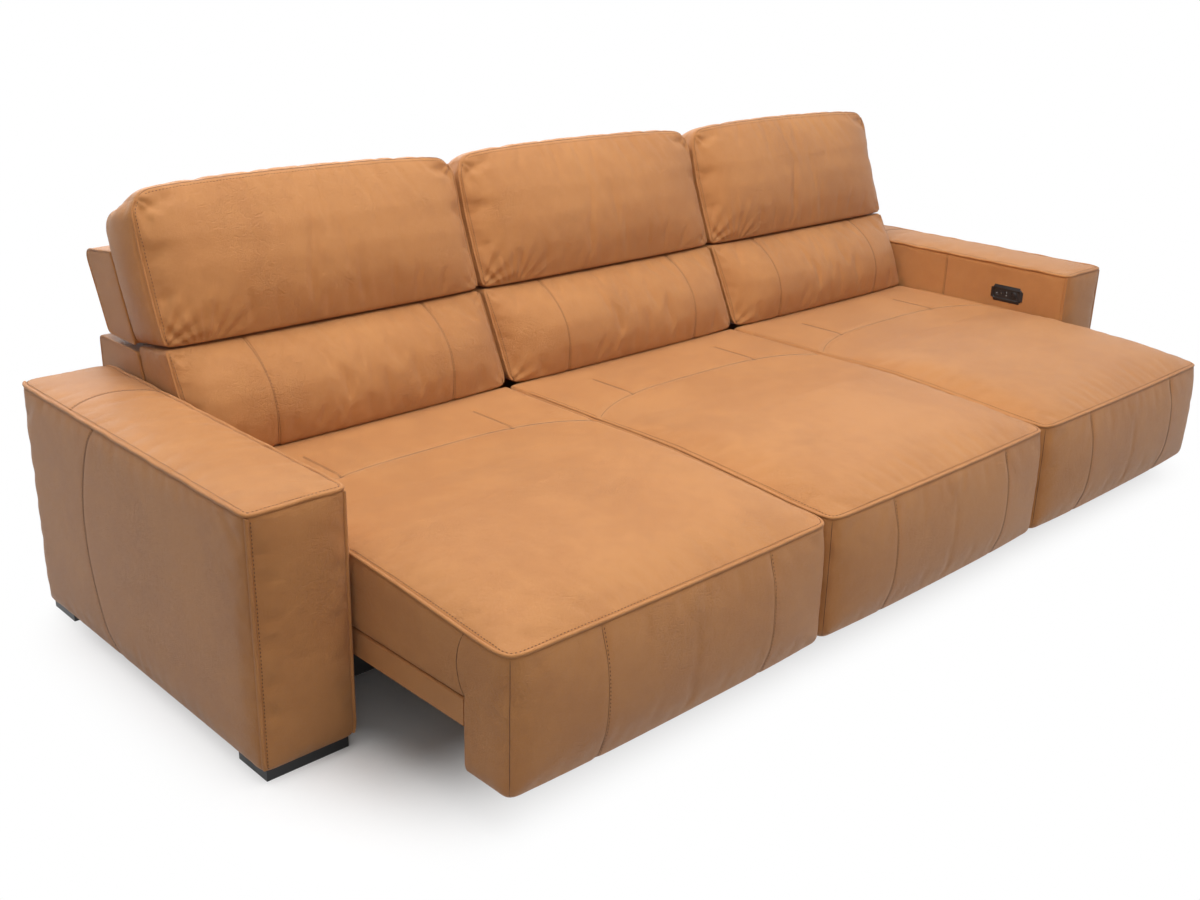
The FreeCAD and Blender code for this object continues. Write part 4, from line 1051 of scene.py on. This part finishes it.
def back_cushions(stem, replaced, place, tall, cells, body, swell_by):
    """Makes the back cushions of one kind for the three seats, with piping and stitching."""
    sizes = bpy.context.scene.sofa_sizes
    pattern = even_block(stem + "_pattern", *cells)
    lay_out(pattern, place)
    across, along, through = block_place(pattern)
    side = at_value(across, 0, 1)
    front = at_value(through, 1)
    held = at_value(through, 0) | at_value(along, 0) | (front & side)
    if stem == "lumbar_pad":
        held = held | at_value(along, 1)
    else:
        held = held | (front & at_value(along, 1))
    reach = np.where(side, 0.003, swell_by * np.clip(along / 0.10, 0.15, 1))
    swell(pattern, held, reach, pressure=3.5, slack=0.018)
    write_value(pattern, "kept", (held | side).astype(float))
    divide(pattern)
    for corner, reach, folds, depth, phase in GATHERS[stem]:
        gather(pattern, sizes.cushion_width, tall, corner, reach, folds, depth, phase)
    seam = sizes.panel_seam / sizes.cushion_width
    ends = []
    stitch_lines = []
    inset = 0.008 / sizes.cushion_width
    piping_low, piping_high, stitch_high = (0.01, 1, 0.96) if stem == "head_pad" else (0.0, 0.985, 0.97)
    for end, way in ((0.0, 1), (1.0, -1)):
        aside = end + way * inset
        ends.append(line_on(place, (end, piping_low, 1), (end, piping_high, 1), 80))
        stitch_lines.append(line_on(place, (aside, 0.02, 1), (aside, stitch_high, 1), 80))
    crease(pattern, ends, 0.006, 0.0012, 0.4)
    panels = []
    if stem == "head_pad":
        panels.append(line_on(place, (0.02, 1, 1), (0.98, 1, 1), 120))
        crease(pattern, panels, 0.007, 0.0018, 0.25)
        stitch_lines.append(line_on(place, (0.045, 0.975, 1), (0.955, 0.975, 1), 120))
    else:
        for way in (-1, 1):
            at = 0.5 + way * (seam + 0.01)
            panels.append(line_on(place, (at, 0.0, 1), (at, 1.0, 1), 80))
            aside = at + STITCH_ASIDE
            stitch_lines.append(line_on(place, (aside, 0.02, 1), (aside, 0.98, 1), 80))
        crease(pattern, panels, 0.008, 0.0030, 0.2)
    pads = place_copies(pattern, stem, body, (replaced,), 0.0016)
    for name, pad in pads.items():
        centre = SEAT_CENTRE[name]
        tree = surface_of(pad)
        lines = [calm(on_surface(tree, line, 0.0006)[0], 3) for line in shift_all(ends, centre)]
        lines = [even_steps(line, PIPING_STEP) for line in lines]
        piping = tube(stem.replace("pad", "piping_") + name, lines, THIN_PIPING, body(name), sides=2)
        sewn = stitching(
            stem.replace("pad", "stitching_") + name, tree, shift_all(stitch_lines, centre), body(name))
        seam_shade_tubes = seam_shade_lines(stem.replace("pad", "seams_") + name, tree, shift_all(panels, centre), body(name))
        for piece in (pad, piping, sewn, seam_shade_tubes):
            press_up(piece, stem)


class SOFA_OT_head_pads(bpy.types.Operator):
    """Makes the three tipping head cushions"""

    bl_idname = "sofa.head_pads"
    bl_label = "Head cushions"

    def execute(self, context):
        back_cushions(
            "head_pad", "head_cushion", head_place, HEAD_TALL, (92, 36, 12), lambda side: "back_" + side,
            0.014)
        return {"FINISHED"}


class SOFA_OT_lumbar_pads(bpy.types.Operator):
    """Makes the three fixed lumbar cushions"""

    bl_idname = "sofa.lumbar_pads"
    bl_label = "Lumbar cushions"

    def execute(self, context):
        back_cushions(
            "lumbar_pad", "lumbar_cushion", lumbar_place, LUMBAR_TALL, (92, 27, 14), lambda side: "root",
            0.012)
        return {"FINISHED"}


class SOFA_OT_arms(bpy.types.Operator):
    """Makes the two box arms with their piping and stitching"""

    bl_idname = "sofa.arms"
    bl_label = "Arms"

    def execute(self, context):
        sizes = context.scene.sofa_sizes
        left = even_block("arm_left", 18, 76, 40)
        lay_out(left, arm_place)
        across, along, through = block_place(left)
        ends_x = at_value(across, 0, 1)
        ends_y = at_value(along, 0, 1)
        held = at_value(through, 0) | (at_value(through, 1) & (ends_x | ends_y)) | (ends_x & ends_y)
        reach = np.where(at_value(across, 1), 0.002, 0.006)
        swell(left, held, reach, pressure=2.5, slack=0.012)
        divide(left)
        outer_edge = line_on(arm_place, (0, 0.995, 1), (0, 0, 1), 120)
        front_edge = line_on(arm_place, (0.01, 0, 1), (0.99, 0, 1), 30)
        inner_edge = line_on(arm_place, (1, 0, 1), (1, 0.995, 1), 120)
        rim = join_lines(outer_edge, front_edge, inner_edge)
        uprights = [
            line_on(arm_place, (0, 0, 0.985), (0, 0, 0.01), 70),
            line_on(arm_place, (1, 0, 0.985), (1, 0, 0.01), 70)]
        depth = np.linspace(0, 1, 60)
        long = ARM_REAR - ARM_FRONT
        bow = (0.305 - ARM_FRONT + 0.075 * np.sin(math.pi * (1 - depth) ** 0.9)) / long
        outer_seam = arm_place(np.zeros(60), bow, depth)
        inner_seam = arm_place(np.ones(60), np.full(60, (0.135 - ARM_FRONT) / long), depth)
        sweep = np.linspace(0.0, 1.0, 30)
        top_seam = arm_place(
            sweep, (0.436 + 0.035 * np.sin(math.pi * sweep) - ARM_FRONT) / long, np.ones(30))
        stitch_lines = [
            line_on(arm_place, (0.05, 0, 0.97), (0.05, 0, 0.02), 70),
            line_on(arm_place, (0.045, 0.99, 1), (0.045, 0.01, 1), 110),
            line_on(arm_place, (0.955, 0.01, 1), (0.955, 0.99, 1), 110),
            line_on(arm_place, (0.06, 0.0095, 1), (0.94, 0.0095, 1), 30)]
        seams = [outer_seam, inner_seam, top_seam]
        crease(left, [rim], 0.008, 0.001, 0.4)
        crease(left, uprights, 0.007, 0.001, 0.4)
        crease(left, seams, 0.008, 0.0022, 0.2)
        for seam_line in seams:
            stitch_lines.append(seam_line + np.array([0, STITCH_ASIDE, 0]))
        right = copy_of(left, "arm_right")
        write_points(right, read_points(right) * np.array([-1, 1, 1]))
        take(right)
        bpy.ops.object.mode_set(mode="EDIT")
        bpy.ops.mesh.select_all(action="SELECT")
        bpy.ops.mesh.flip_normals()
        bpy.ops.object.mode_set(mode="OBJECT")
        for side, arm, way in (("left", left, 1), ("right", right, -1)):
            turn = np.array([way, 1, 1])
            finish_piece(arm, "root", MATERIALS["hide"])
            smooth(arm)
            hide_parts("arm_cover_" + side)
            tree = surface_of(arm)
            lines = []
            for line in [rim] + uprights:
                placed = calm(on_surface(tree, line * turn, 0.001)[0], 3)
                placed = even_steps(placed, PIPING_STEP)
                walk = np.arange(len(placed)) * PIPING_STEP
                placed[:, 2] += 0.0008 * np.sin(walk * 34) + 0.0005 * np.sin(walk * 71 + 1)
                lines.append(placed)
            tube("arm_piping_" + side, lines, sizes.piping + 0.0006, "root")
            stitching("arm_stitching_" + side, tree, [line * turn for line in stitch_lines], "root")
            seam_shade_lines("arm_seams_" + side, tree, [line * turn for line in seams], "root")
        return {"FINISHED"}


def cut_evenly(low, high, axis):
    """Cuts the mesh in edit mode across an axis, at even steps."""
    count = max(2, int(round((high - low) / BLOCK_STEP)))
    for number in range(1, count):
        at = [0, 0, 0]
        way = [0, 0, 0]
        at[axis] = low + (high - low) * number / count
        way[axis] = 1
        bpy.ops.mesh.select_all(action="SELECT")
        bpy.ops.mesh.bisect(plane_co=at, plane_no=way)


BLOCK_BEVEL, BLOCK_PLUMP, BLOCK_STEP = 0.006, 0.004, 0.03


def profile_block(name, corners, half):
    """A padded block: an outline drawn out sideways, with rounded edges and slightly plump faces."""
    start_fresh()
    bpy.ops.mesh.primitive_circle_add(vertices=len(corners), radius=1, fill_type="NGON")
    block = bpy.context.object
    block.name = name
    block.data.name = name
    write_points(block, np.array([(-half, y, z) for y, z in corners]))
    bpy.ops.object.mode_set(mode="EDIT")
    bpy.ops.mesh.select_all(action="SELECT")
    bpy.ops.mesh.extrude_region_move(TRANSFORM_OT_translate={"value": (half * 2, 0, 0)})
    face_outward(block)
    rounding = block.modifiers.new("Rounded edges", "BEVEL")
    rounding.width = BLOCK_BEVEL
    rounding.segments = 3
    rounding.limit_method = "ANGLE"
    apply_all(block)
    low = np.min(corners, axis=0)
    high = np.max(corners, axis=0)
    bpy.ops.object.mode_set(mode="EDIT")
    cut_evenly(-half, half, 0)
    cut_evenly(low[0], high[0], 1)
    cut_evenly(low[1], high[1], 2)
    bpy.ops.object.mode_set(mode="OBJECT")
    points = read_points(block)
    normals = read_points(block, "normal")
    flat = np.max(np.abs(normals), axis=1) > 0.999
    tilted = np.abs(normals[:, 0]) < 0.001
    inside = np.minimum(half - np.abs(points[:, 0]), 0.08) / 0.08
    rise = (points[:, 2] - low[1]) / (high[1] - low[1])
    edge = np.clip(np.sin(math.pi * np.clip(rise, 0, 1)), 0, 1) ** 0.5
    share = np.where(tilted | flat, np.clip(inside, 0, 1) * edge, 0)
    share = np.where(np.abs(normals[:, 0]) > 0.9, 0, share)
    write_points(block, points + normals * (share * BLOCK_PLUMP)[:, None])
    return block


class SOFA_OT_back_blocks(bpy.types.Operator):
    """Makes the upholstered upper and lower blocks behind the back cushions"""

    bl_idname = "sofa.back_blocks"
    bl_label = "Back blocks"

    def execute(self, context):
        half = 0.4675
        upper = (
            (0.577, 0.6695), (0.713, 0.6695), (0.794, 0.838), (0.797, 0.852), (0.787, 0.864), (0.662, 0.8785))
        lower = (
            (0.504, 0.451), (0.5695, 0.651), (0.770, 0.651), (0.770, 0.061), (0.756, 0.061), (0.756, 0.451))
        for stem, replaced, outline, loop, body in (
                ("upper_block", "upper_back", upper, upper + upper[:1], "back_"),
                ("lower_block", "lower_back", lower, lower[:4], None)):
            for side in SEATS:
                centre = SEAT_CENTRE[side]
                rides = body + side if body else "root"
                block = profile_block(stem + "_" + side, outline, half)
                move_sideways(block, centre)
                finish_piece(block, rides, MATERIALS["hide"])
                smooth(block, 40)
                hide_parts(replaced + "_" + side)
                lines = []
                for way in (-1, 1):
                    line = np.array([(centre + way * (half - 0.0022), y, z) for y, z in loop])
                    middle = np.array([line[0, 0], np.mean(line[:, 1]), np.mean(line[:, 2])])
                    line = calm(even_steps(line, 0.006), 4)
                    inward = middle - line
                    inward /= np.linalg.norm(inward, axis=1)[:, None] + 1e-9
                    lines.append(line + inward * 0.0015)
                tube(stem.replace("block", "piping_") + side, lines, 0.0032, rides, sides=2)
        return {"FINISHED"}


def turned_disc(name, face_x, node_name, rings):
    """A closed disc round a button's middle: rings of (share of its radius, how far it stands out)."""
    low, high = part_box(node_name)
    middle = (low + high) / 2
    centre = (face_x, middle.y, middle.z)
    radius_y = (high.y - low.y) / 2
    radius_z = (high.z - low.z) / 2
    start_fresh()
    bpy.ops.mesh.primitive_circle_add(vertices=48, radius=1, fill_type="NOTHING")
    disc = bpy.context.object
    disc.name = name
    disc.data.name = name
    circle = read_points(disc)
    first = rings[0]
    flat = np.stack([
        np.full(len(circle), centre[0] - first[1]), centre[1] + circle[:, 0] * radius_y * first[0],
        centre[2] + circle[:, 1] * radius_z * first[0]], axis=1)
    write_points(disc, flat)
    bpy.ops.object.mode_set(mode="EDIT")
    bpy.ops.mesh.select_all(action="SELECT")
    for before, after in zip(rings, rings[1:]):
        bpy.ops.mesh.extrude_region_move(TRANSFORM_OT_translate={"value": (before[1] - after[1], 0, 0)})
        share = after[0] / before[0]
        bpy.ops.transform.resize(value=(1, share, share), center_override=centre)
    bpy.ops.mesh.edge_face_add()
    bpy.ops.mesh.select_mode(type="EDGE")
    bpy.ops.mesh.select_all(action="DESELECT")
    bpy.ops.mesh.select_non_manifold()
    bpy.ops.mesh.edge_face_add()
    face_outward(disc)
    smooth(disc, 35)
    return disc


BEZEL = ((1.22, -0.0002), (1.20, 0.0007), (1.12, 0.0009), (1.06, 0.0004))
BUTTONS = (
    ("rocker_cap", "rocker_button", "rocker", (
        (1.0, -0.0004), (1.0, 0.0022), (0.93, 0.0031), (0.80, 0.0033), (0.45, 0.0024), (0.12, 0.0021))),
    ("round_cap", "round_button", "round", (
        (1.0, -0.0004), (1.0, 0.0022), (0.93, 0.0029), (0.74, 0.0029), (0.70, 0.0021), (0.60, 0.0021),
        (0.55, 0.0029), (0.30, 0.0032), (0.1, 0.0033))),
)


class SOFA_OT_switch(bpy.types.Operator):
    """Makes the switch plate with its rocker and round button"""

    bl_idname = "sofa.switch"
    bl_label = "Switch"

    def clear_choice(self):
        """Selects nothing in the active mesh."""
        bpy.ops.object.mode_set(mode="EDIT")
        bpy.ops.mesh.select_all(action="DESELECT")
        bpy.ops.object.mode_set(mode="OBJECT")

    def execute(self, context):
        low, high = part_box("switch_plate")
        middle = (low + high) / 2
        start_fresh()
        bpy.ops.mesh.primitive_cube_add(size=1, location=middle, scale=high - low)
        plate = context.object
        plate.name = "switch_face"
        settle(plate)
        self.clear_choice()
        for edge in plate.data.edges:
            ends = [plate.data.vertices[number].co for number in edge.vertices]
            edge.select = abs(ends[0].x - ends[1].x) > 0.001
        bpy.ops.object.mode_set(mode="EDIT")
        bpy.ops.mesh.select_mode(type="EDGE")
        bpy.ops.mesh.bevel(offset=0.008, offset_type="OFFSET", segments=8, profile=0.5, affect="EDGES")
        bpy.ops.mesh.select_mode(type="FACE")
        self.clear_choice()
        for face in plate.data.polygons:
            face.select = face.normal.x < -0.9
        bpy.ops.object.mode_set(mode="EDIT")
        bpy.ops.mesh.inset(thickness=0.0012, depth=0)
        bpy.ops.transform.translate(value=(-0.0009, 0, 0))
        bpy.ops.mesh.inset(thickness=0.0022, depth=0)
        bpy.ops.mesh.inset(thickness=0.0008, depth=-0.0009)
        bpy.ops.object.mode_set(mode="OBJECT")
        smooth(plate, 35)
        finish_piece(plate, "root", MATERIALS["switch_black"])
        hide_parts("switch_plate")
        face_x = low.x
        for name, node_name, body, rings in BUTTONS:
            cap = turned_disc(name, face_x, node_name, rings)
            finish_piece(cap, body, MATERIALS["button_black"])
            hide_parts(node_name)
            ring = turned_disc(name + "_bezel", face_x, node_name, BEZEL)
            finish_piece(ring, "root", MATERIALS["switch_black"])
        button_low, button_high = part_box("rocker_button")
        centre = (button_low + button_high) / 2
        marks = []
        for way in (-1, 1):
            for lean in (-1, 1):
                start_fresh()
                bpy.ops.mesh.primitive_cube_add(
                    size=1, location=(face_x - 0.0031, centre.y + way * 0.0085, centre.z + lean * 0.0009),
                    scale=(0.0006, 0.0006, 0.0026), rotation=(math.radians(35 * way * lean), 0, 0))
                settle(context.object)
                marks.append(context.object)
        finish_piece(join_up(marks, "rocker_marks"), "rocker", MATERIALS["mark"])
        dots = []
        for lift in (-0.005, 0.005):
            start_fresh()
            bpy.ops.mesh.primitive_cylinder_add(
                vertices=20, radius=0.0013, depth=0.0012,
                location=(face_x - 0.0002, middle.y, middle.z + lift), rotation=(0, math.radians(90), 0))
            settle(context.object)
            dots.append(context.object)
        lights = join_up(dots, "switch_lights")
        bevel = lights.modifiers.new("Edge", "BEVEL")
        bevel.width = 0.0003
        bevel.segments = 2
        apply_all(lights)
        finish_piece(lights, "root", MATERIALS["mark"])
        return {"FINISHED"}


DUST_CLOTH, DUST_CLOTH_WIDE = 0.0015, 0.08


class SOFA_OT_inner_parts(bpy.types.Operator):
    """Gives the frame, slides, drives, hinges and feet their finishes"""

    bl_idname = "sofa.inner_parts"
    bl_label = "Inner parts"

    def execute(self, context):
        for name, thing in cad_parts.items():
            for place in thing.material_slots:
                old = place.material.name.split(".")[0] if place.material else "steel"
                if old not in MATERIALS:
                    raise ValueError("no finish for " + old + " on " + name)
                place.material = MATERIALS[old]
        low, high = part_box("base_frame")
        for side in ("left", "right"):
            start_fresh()
            bpy.ops.mesh.primitive_cube_add(
                size=1, location=(SEAT_CENTRE[side] / 2, (low.y + high.y) / 2, low.z - DUST_CLOTH),
                scale=(DUST_CLOTH_WIDE, high.y - low.y, DUST_CLOTH))
            cloth = context.object
            cloth.name = "dust_cloth_" + side
            settle(cloth)
            finish_piece(cloth, "root", MATERIALS["black_timber"])
        return {"FINISHED"}


def seen_rays(tree, rays):
    """1 for rays that show the background to the camera, straight or in a reflection, and 0 for light."""
    seen = math_node(tree, "ADD", rays.outputs["Is Camera Ray"], rays.outputs["Is Glossy Ray"], True)
    return math_node(tree, "ADD", seen, rays.outputs["Is Transmission Ray"], True)


def show_white(tree, plain, white, output, amount):
    """Mixes plain white over a shader by an amount."""
    mix = tree.nodes.new("ShaderNodeMixShader")
    tree.links.new(amount, mix.inputs[0])
    tree.links.new(plain.outputs[0], mix.inputs[1])
    tree.links.new(white.outputs[0], mix.inputs[2])
    tree.links.new(mix.outputs[0], output.inputs[0])


def make_floor_material(colour):
    """A pale floor that keeps shadows near the sofa and turns white for the camera further out."""
    material, tree, shader, place = new_material("studio_floor")
    shader.inputs["Roughness"].default_value = 0.9
    shader.inputs["Specular IOR Level"].default_value = 0.1
    grain = noise(tree, place, 40.0, 2.0)
    rays = tree.nodes.new("ShaderNodeLightPath")
    pale = mixed(tree, grain, tuple(colour), tuple(min(1, part * 1.03) for part in colour[:3]) + (1,))
    tree.links.new(
        mixed(tree, rays.outputs["Is Camera Ray"], (0.42, 0.41, 0.40, 1), pale), shader.inputs["Base Color"])
    folded = put(tree, "ShaderNodeVectorMath", {"operation": "ABSOLUTE"}, in_0=place)
    beyond = put(tree, "ShaderNodeVectorMath", {"operation": "SUBTRACT"}, in_0=folded.outputs[0],
                 in_1=(1.40, 0.42, 0.0))
    beyond = put(
        tree, "ShaderNodeVectorMath", {"operation": "MAXIMUM"}, in_0=beyond.outputs[0], in_1=(0, 0, 0))
    far = put(tree, "ShaderNodeVectorMath", {"operation": "LENGTH"}, in_0=beyond.outputs[0])
    mask = map_range(tree, far.outputs[1], -0.02, 0.42, 0.0, 1.0)
    white = put(tree, "ShaderNodeEmission", None, Color=(1, 1, 1, 1), Strength=1.0)
    output = next(node for node in tree.nodes if node.bl_idname == "ShaderNodeOutputMaterial")
    show_white(tree, shader, white, output, product(tree, mask, seen_rays(tree, rays)))
    return material


def make_world():
    """Soft even light from all round, white to the camera."""
    world = bpy.data.worlds.new("studio_world")
    bpy.context.scene.world = world
    world.use_nodes = True
    tree = world.node_tree
    tree.nodes.clear()
    light = put(tree, "ShaderNodeBackground", None, Color=(1, 1, 1, 1), Strength=0.24)
    white = put(tree, "ShaderNodeBackground", None, Color=(1, 1, 1, 1), Strength=1.0)
    rays = tree.nodes.new("ShaderNodeLightPath")
    show_white(tree, light, white, tree.nodes.new("ShaderNodeOutputWorld"), seen_rays(tree, rays))


def add_lamp(name, place, aim, size, power):
    """A large soft lamp turned to a point."""
    lamp = bpy.data.lights.new(name, "AREA")
    lamp.shape = "RECTANGLE"
    lamp.size = size[0]
    lamp.size_y = size[1]
    lamp.energy = power
    made = bpy.data.objects.new(name, lamp)
    bpy.context.scene.collection.objects.link(made)
    made.location = place
    made.rotation_euler = (Vector(aim) - Vector(place)).to_track_quat("-Z", "Y").to_euler()
    made.visible_camera = False


CAMERA_PLACE = (-2.7559, -2.4010, 1.6007)
CAMERA_TURN = (44.267, 20.795, 1.557)
FOCAL_PIXELS, PHOTO_WIDTH = 1346.83, 1200


class SOFA_OT_stage(bpy.types.Operator):
    """Makes the floor, the lamps, the world and the camera"""

    bl_idname = "sofa.stage"
    bl_label = "Stage"

    def execute(self, context):
        start_fresh()
        bpy.ops.mesh.primitive_plane_add(size=40, location=(0, 0, 0))
        floor = context.object
        floor.name = "floor"
        settle(floor)
        floor.data.materials.append(make_floor_material(context.scene.sofa_colours.floor))
        make_world()
        add_lamp("top_lamp", (-0.6, -0.4, 4.2), (0, 0, 0), (5.0, 4.0), 262)
        add_lamp("front_lamp", (-3.4, -4.6, 2.6), (0, 0, 0.4), (3.0, 2.4), 22)
        add_lamp("rear_lamp", (0.8, 5.2, 3.0), (0, -0.3, 0.4), (5.0, 2.4), 90)
        yaw, pitch, roll = (math.radians(angle) for angle in CAMERA_TURN)
        ahead = Vector((math.sin(yaw) * math.cos(pitch), math.cos(yaw) * math.cos(pitch), -math.sin(pitch)))
        right = ahead.cross(Vector((0, 0, 1))).normalized()
        above = right.cross(ahead)
        right_turned = right * math.cos(roll) + above * math.sin(roll)
        above_turned = above * math.cos(roll) - right * math.sin(roll)
        camera = bpy.data.cameras.new("camera")
        camera.sensor_width = 36
        camera.lens = FOCAL_PIXELS / PHOTO_WIDTH * camera.sensor_width
        viewer = bpy.data.objects.new("camera", camera)
        context.scene.collection.objects.link(viewer)
        turn = Matrix((right_turned, above_turned, -ahead)).transposed()
        viewer.matrix_world = Matrix.Translation(CAMERA_PLACE) @ turn.to_4x4()
        context.scene.camera = viewer
        context.scene.view_settings.view_transform = "Standard"
        return {"FINISHED"}


class SOFA_PT_panel(bpy.types.Panel):
    """Lists the sofa's operators and settings in the sidebar"""

    bl_label = "Reclining sofa"
    bl_idname = "SOFA_PT_panel"
    bl_space_type = "VIEW_3D"
    bl_region_type = "UI"
    bl_category = "Sofa"

    def draw(self, context):
        for operator in OPERATORS:
            self.layout.operator(operator.bl_idname)
        for settings in (context.scene.sofa_sizes, context.scene.sofa_colours):
            for name in settings.bl_rna.properties.keys():
                if name not in ("rna_type", "name"):
                    self.layout.prop(settings, name)


OPERATORS = (
    SOFA_OT_stage, SOFA_OT_inner_parts, SOFA_OT_arms, SOFA_OT_back_blocks, SOFA_OT_lumbar_pads,
    SOFA_OT_head_pads, SOFA_OT_seat_pads, SOFA_OT_switch)
CLASSES = (SofaSizes, SofaColours) + OPERATORS + (SOFA_PT_panel,)


def register():
    """Registers the classes and adds the settings to the scene."""
    for item in CLASSES:
        bpy.utils.register_class(item)
    bpy.types.Scene.sofa_sizes = bpy.props.PointerProperty(type=SofaSizes)
    bpy.types.Scene.sofa_colours = bpy.props.PointerProperty(type=SofaColours)


def unregister():
    """Takes the settings and classes away again."""
    del bpy.types.Scene.sofa_colours
    del bpy.types.Scene.sofa_sizes
    for item in reversed(CLASSES):
        bpy.utils.unregister_class(item)


def main():
    """Makes the whole scene."""
    register()
    make_materials()
    bpy.ops.sofa.stage()
    bpy.ops.sofa.inner_parts()
    bpy.ops.sofa.arms()
    bpy.ops.sofa.back_blocks()
    bpy.ops.sofa.lumbar_pads()
    bpy.ops.sofa.head_pads()
    bpy.ops.sofa.seat_pads()
    bpy.ops.sofa.switch()


if __name__ == "__main__":
    main()
